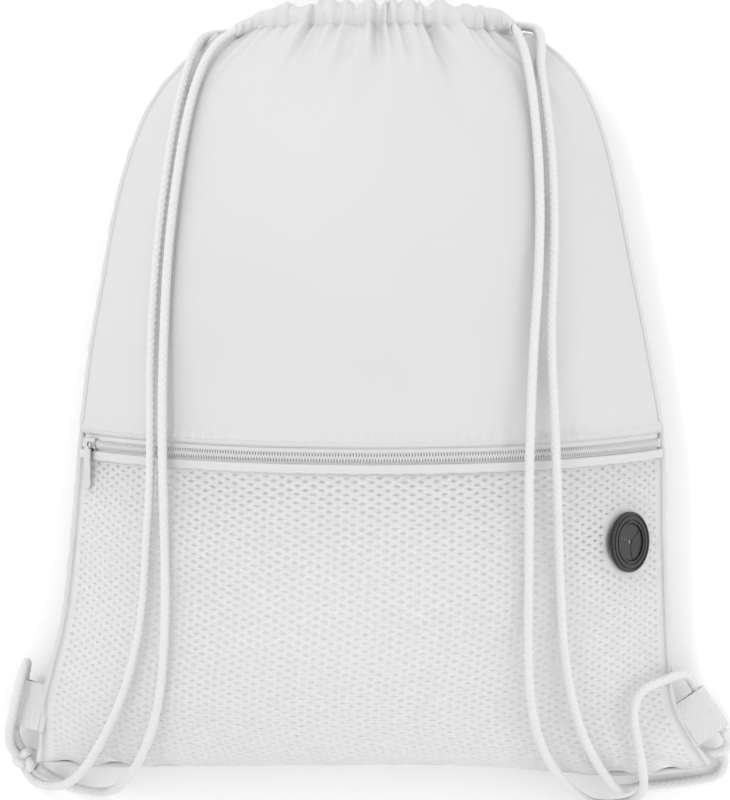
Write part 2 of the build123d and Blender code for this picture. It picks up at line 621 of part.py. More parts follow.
def knot(centre, size):
    """A plain overhand knot as one rounded lump."""
    lump = scale(Sphere(1), by=tuple(length / 2 for length in size))
    return Pos(*centre) * lump


def corner_radius(before, at, after):
    """The largest arc that fits a corner of a route when its neighbours take as much of their runs."""
    turn = (at - before).get_angle(after - at)
    shorter = min((at - before).length, (after - at).length)
    return ARC_SHARE * shorter / math.tan(math.radians(turn / 2)), turn


def cord(name, corners):
    """A drawcord's free stretch, as a round tube on straight runs joined by tangent arcs."""
    points = [Vector(*corner) for corner in corners]
    found = [corner_radius(*points[i - 1:i + 2]) for i in range(1, len(points) - 1)]
    radii = [radius for radius, _ in found]
    path = FilletPolyline(*points, radius=radii)
    tube = sweep(Plane(origin=points[0], z_dir=points[1] - points[0]) * Circle(CORD / 2), path=path)
    solid = tube.volume / (math.pi * CORD**2 / 4 * path.length)
    runs = [(b - a).length for a, b in zip(points, points[1:])]
    print(name, "length", round(path.length), "volume share", round(solid, 4))
    print("  radii", [round(radius, 1) for radius in radii])
    print("  sharpest turn", round(max(turn for _, turn in found)), "longest run", round(max(runs)))
    print("  run ratio", round(max(max(a / b, b / a) for a, b in zip(runs, runs[1:])), 2))
    return tube


def main():
    os.makedirs("parts", exist_ok=True)
    pieces = {"back_panel": back_panel(), "bottom_seam": bottom_seam()}
    pieces.update(front_panels())
    pieces.update(side_seam_left=side_seam(-1), side_seam_right=side_seam(1))
    pieces.update(zip_pieces())
    pieces.update(slider_body=slider_body(), slider_bridge=slider_bridge(), puller=puller())
    pieces.update(port_pieces())
    pieces.update(channels())
    pieces["left_cord_in_channels"] = cord_in_channels(1, CORD_SLOTS[0])
    pieces["right_cord_in_channels"] = cord_in_channels(-1, CORD_SLOTS[1])
    for name, place in TABS.items():
        pieces[name] = tab(*place)
    for name, place in KNOTS.items():
        pieces[name] = knot(*place)
    for name, corners in ROUTES.items():
        pieces[name] = cord(name, corners)
    for name, piece in pieces.items():
        piece.label = name
        export_step(piece, os.path.join("parts", f"{name}.step"))


if __name__ == "__main__":
    main()
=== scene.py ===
"""Looks of the drawstring backpack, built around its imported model.

Everything is in metres, in the model's own frame: +Z out of the front panel, +Y towards the mouth,
+X to the right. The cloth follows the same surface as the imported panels, with its gathers, folds,
net, stitches, braid and zip teeth modelled on it.
"""

import math
import random

import bpy
import numpy as np
from mathutils import Matrix, Vector


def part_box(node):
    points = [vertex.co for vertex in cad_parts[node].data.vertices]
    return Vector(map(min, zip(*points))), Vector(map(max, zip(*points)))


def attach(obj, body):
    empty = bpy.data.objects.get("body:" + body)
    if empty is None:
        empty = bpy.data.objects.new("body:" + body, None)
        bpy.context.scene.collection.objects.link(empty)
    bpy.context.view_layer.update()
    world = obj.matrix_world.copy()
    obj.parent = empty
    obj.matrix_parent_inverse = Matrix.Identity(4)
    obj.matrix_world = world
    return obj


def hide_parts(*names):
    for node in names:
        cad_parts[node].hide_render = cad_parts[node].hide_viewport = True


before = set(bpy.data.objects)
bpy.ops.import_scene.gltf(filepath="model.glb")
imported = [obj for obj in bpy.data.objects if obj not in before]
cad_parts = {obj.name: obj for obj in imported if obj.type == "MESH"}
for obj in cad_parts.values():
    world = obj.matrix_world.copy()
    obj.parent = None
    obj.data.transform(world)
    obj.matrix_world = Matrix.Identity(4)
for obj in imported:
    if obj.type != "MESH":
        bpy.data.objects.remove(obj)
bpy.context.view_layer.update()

# The sack: its side seams, and the arc that the front makes between them
BOTTOM_Y = -0.181
MOUTH_Y = 0.1815
SEAM_HALF_GAP = 0.0021
LEAN = math.radians(5)
LEAN_ENDS_Y = 0.060
CROWN_Y = -0.060
BOTTOM_ROUNDING = 2.6
SECTIONS = (
    # y of the side seams, left edge, right edge, height of the seams, rise of the front above them
    (-0.181, -0.1670, 0.1690, 0.0170, 0.076),
    (-0.173, -0.1660, 0.1630, 0.0180, 0.076),
    (-0.155, -0.1650, 0.1520, 0.0200, 0.076),
    (-0.140, -0.1615, 0.1490, 0.0225, 0.076),
    (-0.110, -0.1540, 0.1470, 0.0250, 0.076),
    (-0.070, -0.1490, 0.1455, 0.0270, 0.076),
    (-0.021, -0.1450, 0.1445, 0.0270, 0.076),
    (0.020, -0.1405, 0.1380, 0.0280, 0.078),
    (0.060, -0.1335, 0.1300, 0.0300, 0.080),
    (0.100, -0.1260, 0.1220, 0.0320, 0.078),
    (0.130, -0.1170, 0.1150, 0.0330, 0.072),
    (0.150, -0.1075, 0.1075, 0.0340, 0.063),
    (0.165, -0.0950, 0.0980, 0.0350, 0.053),
    (0.1815, -0.0760, 0.0790, 0.0370, 0.035),
)
BOTTOM_ZONE = 0.045
BOTTOM_CENTRE_LIFT = 0.009
BOTTOM_SAG = ((0.75, 0.0065), (-0.8, 0.0020))
SAG_SPREAD = 0.3
BACK_FLAT_HALF = 0.6
BACK_FLAT_LOW_Y = -0.138
BACK_FLAT_HIGH_Y = 0.120
BACK_MOUTH_LIFT = 0.014
BACK_BEND = 2.2

# Zip and pocket
ZIP_SEAM_Y = -0.021
HEM_START, HEM_END = 0.0048, 0.0090
HEM_RISE = 0.0013
BINDING_START, BINDING_END = 0.0032, 0.0080
TOOTH_PITCH = 0.0014
NET_TOP = 0.0076
POCKET_GAP = 0.030
POCKET_TOP_GAP = 0.0030
POCKET_SKIN_GAP = 0.0020
POCKET_BACK_TOP = 0.018
POCKET_OPENS_OVER = 0.032
ZIP_HALF_WIDTH = 0.14

# Mouth
CHANNEL_TALL = 0.0120
CHANNEL_HALF = 0.046
CHANNEL_MIDDLE_Y = 0.1878
BACK_CHANNEL_Z = 0.018
BACK_CHANNEL_HALF = 0.036
CORD_SLOTS = {"left": 0.1853, "right": 0.1903}

# Cords
CORD = 0.0046
PORT_CENTRE = (0.126412, -0.0700066, 0.052388)
ROUTES = {
    "left_cord_outer": (
        (-0.0345, 0.1853, 0.018), (-0.0475, 0.1853, 0.018), (-0.061, 0.1848, 0.02),
        (-0.0735, 0.1834, 0.0265), (-0.0835, 0.1816, 0.0355), (-0.0875, 0.1745, 0.0445),
        (-0.0913, 0.1615, 0.056), (-0.096, 0.138, 0.0685), (-0.1012, 0.101, 0.077),
        (-0.1054, 0.062, 0.0764), (-0.1078, 0.019, 0.0748), (-0.1073, -0.009, 0.0794),
        (-0.1075, -0.04, 0.0796), (-0.1095, -0.068, 0.0754), (-0.1112, -0.1, 0.0734),
        (-0.1152, -0.123, 0.0695), (-0.1213, -0.143, 0.063), (-0.129, -0.1605, 0.0542),
        (-0.1375, -0.1755, 0.0445), (-0.146, -0.1875, 0.0315), (-0.1555, -0.1945, 0.0175),
        (-0.166, -0.1955, 0.0085), (-0.1745, -0.1915, 0.0065), (-0.176, -0.1855, 0.0075),
    ),
    "left_cord_inner": (
        (-0.0445, 0.1853, 0.0588), (-0.0548, 0.1853, 0.05342), (-0.067, 0.1824, 0.054),
        (-0.0766, 0.1754, 0.0565), (-0.0836, 0.163, 0.0632), (-0.0894, 0.142, 0.0736),
        (-0.095, 0.106, 0.0816), (-0.0994, 0.066, 0.0814), (-0.1013, 0.023, 0.0798),
        (-0.1016, -0.007, 0.0834), (-0.1013, -0.038, 0.0836), (-0.1006, -0.066, 0.0802),
        (-0.1001, -0.098, 0.0806), (-0.101, -0.122, 0.0774), (-0.1034, -0.144, 0.0708),
        (-0.108, -0.1625, 0.0622), (-0.1145, -0.1775, 0.054), (-0.122, -0.1895, 0.039),
        (-0.1305, -0.197, 0.0205), (-0.141, -0.199, 0.006), (-0.1525, -0.197, 0.0028),
        (-0.1625, -0.1915, 0.0038), (-0.17, -0.186, 0.0068),
    ),
    "left_cord_tab_loop": (
        (-0.1765, -0.1785, 0.0085), (-0.18, -0.1715, 0.0114), (-0.1806, -0.1656, 0.0125),
        (-0.178, -0.1524, 0.0125), (-0.1751, -0.139, 0.0126), (-0.1739, -0.1328, 0.0142),
        (-0.174, -0.1318, 0.0198), (-0.1754, -0.1364, 0.0232), (-0.178, -0.147, 0.024),
        (-0.1806, -0.158, 0.0228), (-0.1828, -0.1675, 0.0198), (-0.1826, -0.1758, 0.0148),
        (-0.1783, -0.181, 0.0104),
    ),
    "right_cord_inner": (
        (0.0475, 0.1903, 0.0588), (0.0574, 0.1903, 0.05362), (0.0675, 0.1866, 0.0542),
        (0.0726, 0.178, 0.0588), (0.0758, 0.165, 0.0702), (0.0786, 0.142, 0.0812),
        (0.0809, 0.106, 0.0887), (0.0804, 0.066, 0.0924), (0.0774, 0.025, 0.094),
        (0.076, -0.006, 0.0974), (0.075, -0.038, 0.0976), (0.0753, -0.066, 0.0934),
        (0.075, -0.098, 0.0916), (0.0752, -0.124, 0.087), (0.0766, -0.146, 0.0794),
        (0.081, -0.165, 0.0704), (0.0875, -0.179, 0.0614), (0.0956, -0.1895, 0.047),
        (0.1035, -0.198, 0.029), (0.1112, -0.2036, 0.0125), (0.12, -0.2054, 0.0046),
        (0.1284, -0.2038, 0.01), (0.1332, -0.2002, 0.0205), (0.1356, -0.1952, 0.031),
        (0.1352, -0.188, 0.0396), (0.1334, -0.179, 0.0438), (0.1312, -0.1675, 0.046),
        (0.129, -0.1565, 0.0478), (0.1306, -0.1472, 0.0476), (0.1366, -0.142, 0.0438),
        (0.1455, -0.1396, 0.0368), (0.1534, -0.1372, 0.0284), (0.1585, -0.1382, 0.0208),
        (0.1625, -0.1443, 0.017), (0.1702, -0.1559, 0.0168), (0.1774, -0.1668, 0.017),
        (0.1805, -0.1726, 0.015), (0.1778, -0.1775, 0.012), (0.1715, -0.179, 0.0106),
        (0.1645, -0.1765, 0.0098),
    ),
    "right_cord_outer": (
        (0.0375, 0.1903, 0.018), (0.0505, 0.1903, 0.018), (0.064, 0.1896, 0.0202),
        (0.0756, 0.1872, 0.0272), (0.0834, 0.1848, 0.0378), (0.084, 0.176, 0.0485),
        (0.0822, 0.1635, 0.0635), (0.0844, 0.145, 0.0752), (0.0872, 0.117, 0.0824),
        (0.088, 0.077, 0.0874), (0.0858, 0.033, 0.0892), (0.0876, -0.008, 0.0912),
        (0.0888, -0.039, 0.0908), (0.0898, -0.066, 0.0859), (0.091, -0.096, 0.0836),
        (0.0926, -0.12, 0.078), (0.0962, -0.141, 0.0716), (0.1012, -0.1595, 0.064),
        (0.108, -0.1745, 0.056), (0.1156, -0.1865, 0.0435), (0.122, -0.1942, 0.027),
        (0.128, -0.197, 0.0125), (0.136, -0.196, 0.0046), (0.147, -0.1954, 0.0026),
        (0.1585, -0.1942, 0.0026), (0.1675, -0.1928, 0.0027), (0.174, -0.1916, 0.0028),
        (0.179, -0.188, 0.003), (0.1786, -0.1818, 0.0034), (0.173, -0.1794, 0.004),
        (0.166, -0.179, 0.0046),
    ),
}

# Cloth thicknesses and detail
CLOTH = 0.0005
NET_THREAD = 0.0006
NET_SINK = 0.0003
NET_ROW = 0.00205
NET_COLUMNS = 86
HOLE_WIDE, HOLE_TALL = 0.38, 0.27
HOLE_ROUNDING = 1.28
HOLE_WANDER = 0.03
NET_HOLE = 0.0113
NET_SOLID_FROM = 0.965
ON_EDGE = 0.00001
SEAM_SIDES = 12
NET_SOLID_ROUND_PORT = 0.0172
COMPASS = ((0, 1), (0.5, 0.5), (1, 0), (0.5, -0.5), (0, -1), (-0.5, -0.5), (-1, 0), (-0.5, 0.5))

# The gathered edge at the mouth: its height, its shoulders, and the cloth that rolls over the cord
MOUTH_TOP = 0.1955
RUFFLE_TALL = 0.0024
SHOULDER_START, SHOULDER_END, SHOULDER_EDGE = 0.50, 0.80, 0.0006
RUFFLE_ROWS = 26
CORD_COVER = 0.0011
RUFFLE_ROLL = 0.0055
RUFFLE_FILLS, RUFFLE_FILL, RUFFLE_FILL_OVER = 0.75, 0.0024, 0.014
KNEE, KNEE_HALF = 0.0010, 0.0065
RUFFLE_SLANT = 0.0012
CASING_STRAIGHT, CASING_REACH = 0.040, 0.069
CASING_SIDES = 48

# Braid and stitches
BRAID_PITCH = 0.0034
BRAID_STEP = 0.00036
BRAID_SIDES = 32
STITCH_LONG, STITCH_PITCH, STITCH_RADIUS = 0.0016, 0.0023, 0.00022

# Colours
WHITE = (0.66, 0.66, 0.662)
NET_WHITE = (0.93, 0.93, 0.932)
# painted light: the pocket's back is a far lighter white than the front's cloth, to cancel the shade in
# the pocket behind the net
LIGHTENED_INNER_WHITE = (0.93, 0.93, 0.932)
CORD_WHITE = (0.64, 0.64, 0.64)
STITCH_WHITE = (0.70, 0.70, 0.70)
TAPE_WHITE = (0.68, 0.68, 0.685)
WEBBING_WHITE = (0.64, 0.64, 0.645)
NYLON_WHITE = (0.58, 0.58, 0.585)
METAL_GREY = (0.62, 0.62, 0.63)
RUBBER_BLACK = (0.012, 0.012, 0.013)
FLOOR_WHITE = (0.93, 0.93, 0.93)

# Threads and ribs in the materials: their pitch, and how deep the finest of them are
WEAVE = 0.0004
TAPE_RIB, WEBBING_RIB = 0.0009, 0.0013
FINE_BUMP = 0.0001

# Camera and floor
EYE_HEIGHT = 1.630
EYE_X = -0.0035
LENS = 144.0
FLOOR_Z, FLOOR_HALF = -0.0002, 4.0
WORLD_LIGHT = 1.13

random.seed(7)
dice = np.random.default_rng(7)


# ---------- camera

camera_data = bpy.data.cameras.new("camera")
camera_data.lens = LENS
camera = bpy.data.objects.new("camera", camera_data)
camera.location = (EYE_X, 0, EYE_HEIGHT)
bpy.context.scene.collection.objects.link(camera)
bpy.context.scene.camera = camera


# ---------- the sack's surface

def through(at, column):
    """The smooth curve through one column of SECTIONS, at places along the bag."""
    table = np.array(SECTIONS)
    y, value = table[:, 0], table[:, column]
    slope = np.gradient(value, y)
    slope[1:-1] = (value[2:] - value[:-2]) / (y[2:] - y[:-2])
    at = np.clip(at, y[0], y[-1])
    i = np.clip(np.searchsorted(y, at, side="right") - 1, 0, len(y) - 2)
    span = y[i + 1] - y[i]
    t = (at - y[i]) / span
    return (
        (2 * t**3 - 3 * t**2 + 1) * value[i]
        + (t**3 - 2 * t**2 + t) * span * slope[i]
        + (3 * t**2 - 2 * t**3) * value[i + 1]
        + (t**3 - t**2) * span * slope[i + 1]
    )


def ease(t):
    """A smooth step from 0 to 1."""
    t = np.clip(t, 0, 1)
    return t * t * (3 - 2 * t)


def bottom_share(y):
    """How much a place takes part in the rounding of the bottom, from 0 to 1."""
    return np.clip(1 - (y - BOTTOM_Y) / BOTTOM_ZONE, 0, None) ** 2


def bottom_sag(across, y):
    """How far the bottom edge hangs down, deeper near each corner."""
    hang = sum(depth * np.exp(-(((across - at) / SAG_SPREAD) ** 2)) for at, depth in BOTTOM_SAG)
    return hang * bottom_share(y)


def seam_height(across, y):
    """Height of the line where front and back meet."""
    return through(y, 3) + BOTTOM_CENTRE_LIFT * (1 - across**2) * bottom_share(y)


def rise(y):
    """Height of the front's crown above its side seams."""
    out = np.clip((CROWN_Y - y) / (CROWN_Y - BOTTOM_Y), 0, 1)
    rolled = (1 - out**BOTTOM_ROUNDING) ** (1 / BOTTOM_ROUNDING)
    return np.maximum(through(y, 4) * rolled, 0.0005)


def front(across, y):
    """Points on the front's outer surface; every section is an arc of a circle that leans a little."""
    left, right = through(y, 1), through(y, 2)
    half = (right - left) / 2
    half_angle = 2 * np.arctan(rise(y) / half)
    radius = half / np.sin(half_angle)
    up = radius * (np.cos(across * half_angle) - np.cos(half_angle))
    lean = LEAN * (1 - ease((y - LEAN_ENDS_Y) / (MOUTH_Y - LEAN_ENDS_Y)))
    return np.stack([
        (left + right) / 2 + radius * np.sin(across * half_angle),
        y - up * np.sin(lean) - bottom_sag(across, y),
        seam_height(across, y) + SEAM_HALF_GAP + up * np.cos(lean),
    ], axis=-1)


def unit(vectors):
    """The same directions with length 1."""
    return vectors / np.maximum(np.linalg.norm(vectors, axis=-1, keepdims=True), 1e-12)


def front_normal(across, y):
    """Outward directions of the front's surface."""
    low = np.minimum(y, MOUTH_Y - 0.0003)
    side = front(across + 0.002, low) - front(across - 0.002, low)
    along = front(across, low + 0.0002) - front(across, low)
    return unit(np.cross(side, along))


def back(across, y):
    """Points on the back's outer surface: flat in the middle, turned up to the seams and the mouth."""
    left, right = through(y, 1), through(y, 2)
    out = np.clip((np.abs(across) - BACK_FLAT_HALF) / (1 - BACK_FLAT_HALF), 0, None) ** BACK_BEND
    low = np.clip((BACK_FLAT_LOW_Y - y) / (BACK_FLAT_LOW_Y - BOTTOM_Y), 0, None) ** BACK_BEND
    high = np.clip((y - BACK_FLAT_HIGH_Y) / (MOUTH_Y - BACK_FLAT_HIGH_Y), 0, None) ** BACK_BEND
    top = seam_height(across, y) - SEAM_HALF_GAP
    mouth = BACK_MOUTH_LIFT / top * high
    return np.stack([
        (left + right) / 2 + across * (right - left) / 2,
        y - bottom_sag(across, y),
        top * (1 - (1 - out) * (1 - low) * (1 - mouth)),
    ], axis=-1)


# The zip's ring: a circle through both side seams and the crown, in a plane that leans
ZIP_LEFT, ZIP_RIGHT = float(through(ZIP_SEAM_Y, 1)), float(through(ZIP_SEAM_Y, 2))
ZIP_HALF = (ZIP_RIGHT - ZIP_LEFT) / 2
ZIP_HALF_ANGLE = 2 * math.atan(float(rise(ZIP_SEAM_Y)) / ZIP_HALF)
ZIP_RADIUS = ZIP_HALF / math.sin(ZIP_HALF_ANGLE)
ZIP_AXIS = np.array([0, math.cos(LEAN), math.sin(LEAN)])
ZIP_UP = np.array([0, -math.sin(LEAN), math.cos(LEAN)])
ZIP_CENTRE = np.array([
    (ZIP_LEFT + ZIP_RIGHT) / 2,
    ZIP_SEAM_Y,
    float(seam_height(1.0, ZIP_SEAM_Y)) + SEAM_HALF_GAP,
]) - ZIP_UP * ZIP_RADIUS * math.cos(ZIP_HALF_ANGLE)


def on_zip(angle, along, out):
    """Points by their angle round the zip's ring, their place along its axis and their height."""
    angle, along, out = np.broadcast_arrays(angle, along, out)
    radial = ZIP_UP * np.cos(angle)[..., None] + np.array([1.0, 0, 0]) * np.sin(angle)[..., None]
    return ZIP_CENTRE + ZIP_AXIS * along[..., None] + radial * (ZIP_RADIUS + out)[..., None]


# The mouth's ring: the front's own section at the mouth
MOUTH_LEFT, MOUTH_RIGHT = float(through(MOUTH_Y, 1)), float(through(MOUTH_Y, 2))
MOUTH_X = (MOUTH_LEFT + MOUTH_RIGHT) / 2
MOUTH_HALF = (MOUTH_RIGHT - MOUTH_LEFT) / 2
MOUTH_HALF_ANGLE = 2 * math.atan(float(rise(MOUTH_Y)) / MOUTH_HALF)
MOUTH_RADIUS = MOUTH_HALF / math.sin(MOUTH_HALF_ANGLE)
MOUTH_CENTRE_Z = (
    float(seam_height(1.0, MOUTH_Y)) + SEAM_HALF_GAP - MOUTH_RADIUS * math.cos(MOUTH_HALF_ANGLE)
)
CHANNEL_RADIUS = MOUTH_RADIUS - 0.004
CHANNEL_END = math.asin(CHANNEL_HALF / CHANNEL_RADIUS)


# ---------- mesh helpers

def new_object(name, verts, faces, uv=None, smooth=True):
    """A mesh object from points, faces and, if given, each point's place on the cut cloth."""
    mesh = bpy.data.meshes.new(name)
    mesh.from_pydata(np.asarray(verts, float).reshape(-1, 3).tolist(), [], faces)
    mesh.update()
    if uv is not None:
        corner = np.zeros(len(mesh.loops), np.int32)
        mesh.loops.foreach_get("vertex_index", corner)
        layer = mesh.uv_layers.new(name="cut")
        layer.data.foreach_set("uv", np.asarray(uv, float).reshape(-1, 2)[corner].ravel())
    if smooth:
        mesh.polygons.foreach_set("use_smooth", [True] * len(mesh.polygons))
    made = bpy.data.objects.new(name, mesh)
    bpy.context.scene.collection.objects.link(made)
    return made


def grid_faces(rows, columns, wrap=False, start=0):
    """Quads of a grid of points, row by row; wrap joins the last column to the first."""
    i, j = np.meshgrid(np.arange(rows - 1), np.arange(columns if wrap else columns - 1), indexing="ij")
    right = (j + 1) % columns
    a, b = i * columns + j, i * columns + right
    c, d = (i + 1) * columns + right, (i + 1) * columns + j
    return (np.stack([a, b, c, d], axis=-1).reshape(-1, 4) + start).tolist()


def cloth_grid(name, points, thickness=CLOTH):
    """A sheet of cloth over a grid of points, with its cut laid out in metres for the weave."""
    steps_across = np.linalg.norm(np.diff(points, axis=1), axis=-1)
    steps_along = np.linalg.norm(np.diff(points, axis=0), axis=-1)
    u = np.concatenate([np.zeros((len(points), 1)), np.cumsum(steps_across, axis=1)], axis=1)
    u -= u[:, -1:] / 2
    v = np.concatenate([np.zeros((1, points.shape[1])), np.cumsum(steps_along, axis=0)], axis=0)
    made = new_object(name, points, grid_faces(*points.shape[:2]), np.stack([u, v], axis=-1))
    thicken(made, thickness)
    return made


def running(line):
    """How far along the line each of its points is."""
    return np.concatenate([[0], np.cumsum(np.linalg.norm(np.diff(line, axis=0), axis=-1))])


def end_caps(rings, sides, start=0):
    """The two faces that close a tube's ends."""
    last = start + (rings - 1) * sides
    return [list(range(start, start + sides))[::-1], list(range(last, last + sides))]


def thicken(piece, thickness):
    """Gives a sheet its thickness, inwards from its points."""
    solid = piece.modifiers.new("thickness", "SOLIDIFY")
    solid.thickness = thickness
    solid.offset = -1


def tube(name, line, radius, sides=16, bumps=None, closed=False):
    """A tube along a line of points, its radius varied by bumps(length along, angle round)."""
    line = np.asarray(line, float)
    ahead = np.roll(line, -1, 0) if closed else np.concatenate([line[1:], line[-1:]])
    behind = np.roll(line, 1, 0) if closed else np.concatenate([line[:1], line[:-1]])
    heading = unit(ahead - behind)
    side = np.cross(heading[0], (0, 0, 1) if abs(heading[0][2]) < 0.9 else (0, 1, 0))
    sides_on = []
    for tangent in heading:
        side = side - tangent * np.dot(side, tangent)
        side = side / np.linalg.norm(side)
        sides_on.append(side)
    across = np.array(sides_on)
    over = np.cross(heading, across)
    run = running(line)
    angle = np.linspace(0, 2 * math.pi, sides, endpoint=False)
    swell = np.ones((len(line), sides)) if bumps is None else bumps(run[:, None], angle[None, :])
    reach = np.broadcast_to(np.asarray(radius, float), (len(line),))[:, None] * swell
    verts = (
        line[:, None]
        + across[:, None] * (np.cos(angle)[None, :, None] * reach[..., None])
        + over[:, None] * (np.sin(angle)[None, :, None] * reach[..., None])
    )
    faces = grid_faces(len(line), sides, wrap=True)
    if closed:
        last = (len(line) - 1) * sides
        for k in range(sides):
            after = (k + 1) % sides
            faces.append([last + k, last + after, after, k])
    else:
        faces.extend(end_caps(len(line), sides))
    uv = np.stack(np.broadcast_arrays(angle[None, :] * np.mean(reach), run[:, None]), axis=-1)
    return new_object(name, verts, faces, uv)


def evenly(line, step):
    """The same line with its points a set step apart."""
    line = np.asarray(line, float)
    run = running(line)
    count = max(int(round(run[-1] / step)), 2)
    places = np.linspace(0, run[-1], count + 1)
    return np.stack([np.interp(places, run, line[:, k]) for k in range(3)], axis=-1)


def length_of(line):
    return float(running(line)[-1])


# ---------- materials

def link(tree, start, end):
    tree.links.new(start, end)


def new_material(name, colour, roughness, metallic=0.0, sheen=0.0, coat=0.0):
    made = bpy.data.materials.new(name)
    made.use_nodes = True
    shader = made.node_tree.nodes["Principled BSDF"]
    shader.inputs["Base Color"].default_value = (*colour, 1)
    shader.inputs["Roughness"].default_value = roughness
    shader.inputs["Metallic"].default_value = metallic
    shader.inputs["Sheen Weight"].default_value = sheen
    shader.inputs["Sheen Roughness"].default_value = 0.5
    shader.inputs["Coat Weight"].default_value = coat
    return made, made.node_tree, shader


def mottled(tree, shader, colour, scale, amount):
    """Colour that varies softly over the piece; returns the node that gives places on it."""
    place = tree.nodes.new("ShaderNodeTexCoord")
    cloud = tree.nodes.new("ShaderNodeTexNoise")
    cloud.inputs["Scale"].default_value = scale
    cloud.inputs["Detail"].default_value = 3
    mix = tree.nodes.new("ShaderNodeMix")
    mix.data_type = "RGBA"
    mix.inputs["A"].default_value = (*[c * (1 - amount) for c in colour], 1)
    mix.inputs["B"].default_value = (*[min(c * (1 + amount), 1) for c in colour], 1)
    link(tree, place.outputs["Object"], cloud.inputs["Vector"])
    link(tree, cloud.outputs["Fac"], mix.inputs["Factor"])
    link(tree, mix.outputs["Result"], shader.inputs["Base Color"])
    return place


def bands(tree, place, output, direction, pitch):
    """Parallel threads a pitch apart; the wave's phase advances 20 x scale for each metre."""
    wave = tree.nodes.new("ShaderNodeTexWave")
    wave.wave_type = "BANDS"
    wave.bands_direction = direction
    wave.inputs["Scale"].default_value = 2 * math.pi / 20 / pitch
    link(tree, place.outputs[output], wave.inputs["Vector"])
    return wave.outputs["Fac"]


def multiply(tree, first, second):
    node = tree.nodes.new("ShaderNodeMath")
    node.operation = "MULTIPLY"
    link(tree, first, node.inputs[0])
    link(tree, second, node.inputs[1])
    return node.outputs[0]


def bump(tree, shader, height, strength, distance):
    node = tree.nodes.new("ShaderNodeBump")
    node.inputs["Strength"].default_value = strength
    node.inputs["Distance"].default_value = distance
    link(tree, height, node.inputs["Height"])
    link(tree, node.outputs["Normal"], shader.inputs["Normal"])


def grain(tree, place, shader, scale, strength):
    """Fine noise in the surface."""
    noise = tree.nodes.new("ShaderNodeTexNoise")
    noise.inputs["Scale"].default_value = scale
    link(tree, place.outputs["Object"], noise.inputs["Vector"])
    bump(tree, shader, noise.outputs["Fac"], strength, FINE_BUMP)


def let_light_through(tree, shader, colour, share):
    """Thin cloth: part of the light passes."""
    pass_on = tree.nodes.new("ShaderNodeBsdfTranslucent")
    pass_on.inputs["Color"].default_value = (*colour, 1)
    mix = tree.nodes.new("ShaderNodeMixShader")
    mix.inputs["Fac"].default_value = share
    output = tree.nodes["Material Output"]
    link(tree, shader.outputs["BSDF"], mix.inputs[1])
    link(tree, pass_on.outputs["BSDF"], mix.inputs[2])
    link(tree, mix.outputs["Shader"], output.inputs["Surface"])


def woven(name, colour, light):
    """Plain-weave cloth."""
    made, tree, shader = new_material(name, colour, 0.55, sheen=0.15)
    place = mottled(tree, shader, colour, 14, 0.012)
    warp = bands(tree, place, "UV", "X", WEAVE)
    weft = bands(tree, place, "UV", "Y", WEAVE)
    bump(tree, shader, multiply(tree, warp, weft), 0.25, FINE_BUMP)
    let_light_through(tree, shader, colour, light)
    return made


def tape_material():
    made, tree, shader = new_material("zip_tape", TAPE_WHITE, 0.7, sheen=0.1)
    place = mottled(tree, shader, TAPE_WHITE, 60, 0.02)
    bump(tree, shader, bands(tree, place, "Object", "Y", TAPE_RIB), 0.5, 2 * FINE_BUMP)
    return made


def thread_material(name, colour, light=0.0):
    made, tree, shader = new_material(name, colour, 0.8, sheen=0.2)
    place = mottled(tree, shader, colour, 400, 0.04)
    grain(tree, place, shader, 3000, 0.2)
    if light:
        let_light_through(tree, shader, colour, light)
    return made


def metal_material():
    made, tree, shader = new_material("polished_metal", METAL_GREY, 0.16, metallic=1.0)
    place = mottled(tree, shader, METAL_GREY, 300, 0.05)
    grain(tree, place, shader, 900, 0.05)
    return made


def rubber_material():
    made, tree, shader = new_material("soft_black_rubber", RUBBER_BLACK, 0.42, coat=0.05)
    place = mottled(tree, shader, RUBBER_BLACK, 120, 0.25)
    grain(tree, place, shader, 2500, 0.12)
    return made


def nylon_material():
    made, tree, shader = new_material("nylon_teeth", NYLON_WHITE, 0.5)
    mottled(tree, shader, NYLON_WHITE, 500, 0.06)
    return made


def webbing_material():
    made, tree, shader = new_material("ribbed_webbing", WEBBING_WHITE, 0.75, sheen=0.1)
    place = mottled(tree, shader, WEBBING_WHITE, 200, 0.03)
    along = bands(tree, place, "Object", "X", WEBBING_RIB)
    over = bands(tree, place, "Object", "Y", TAPE_RIB)
    bump(tree, shader, multiply(tree, along, over), 0.9, 3 * FINE_BUMP)
    return made


CLOTH_LOOK = woven("plain_cloth", WHITE, light=0.12)
# painted light: the pocket's back cloth, lightened to cancel the shade behind the net
LIGHTENED_INNER_LOOK = woven("inner_cloth_painted_light", LIGHTENED_INNER_WHITE, light=0.04)
NET_LOOK = thread_material("net_thread", NET_WHITE, light=0.68)
CORD_LOOK = thread_material("braided_cord", CORD_WHITE)
STITCH_LOOK = thread_material("stitching", STITCH_WHITE)
TAPE_LOOK = tape_material()
WEBBING_LOOK = webbing_material()
METAL_LOOK = metal_material()
RUBBER_LOOK = rubber_material()
NYLON_LOOK = nylon_material()


def wear(piece, look, slot, *replaced):
    """Puts the look on a new piece of the bag, which stands in for packed ones if any are named."""
    piece.data.materials.append(look)
    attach(piece, "bag")
    if replaced:
        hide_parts(*replaced)
    return piece


# ---------- cords

def spline_line(name, points):
    """The smooth line of a cord: a NURBS spline whose control points are the route's."""
    data = bpy.data.curves.new(name, "CURVE")
    data.dimensions = "3D"
    spline = data.splines.new("NURBS")
    spline.points.add(len(points) - 1)
    for knot_point, place in zip(spline.points, points):
        knot_point.co = (*place, 1)
    spline.order_u = 3
    spline.use_endpoint_u = True
    spline.resolution_u = 24
    holder = bpy.data.objects.new(name, data)
    mesh = bpy.data.meshes.new_from_object(holder)
    line = np.array([vertex.co[:] for vertex in mesh.vertices])
    bpy.data.objects.remove(holder)
    bpy.data.meshes.remove(mesh)
    return line


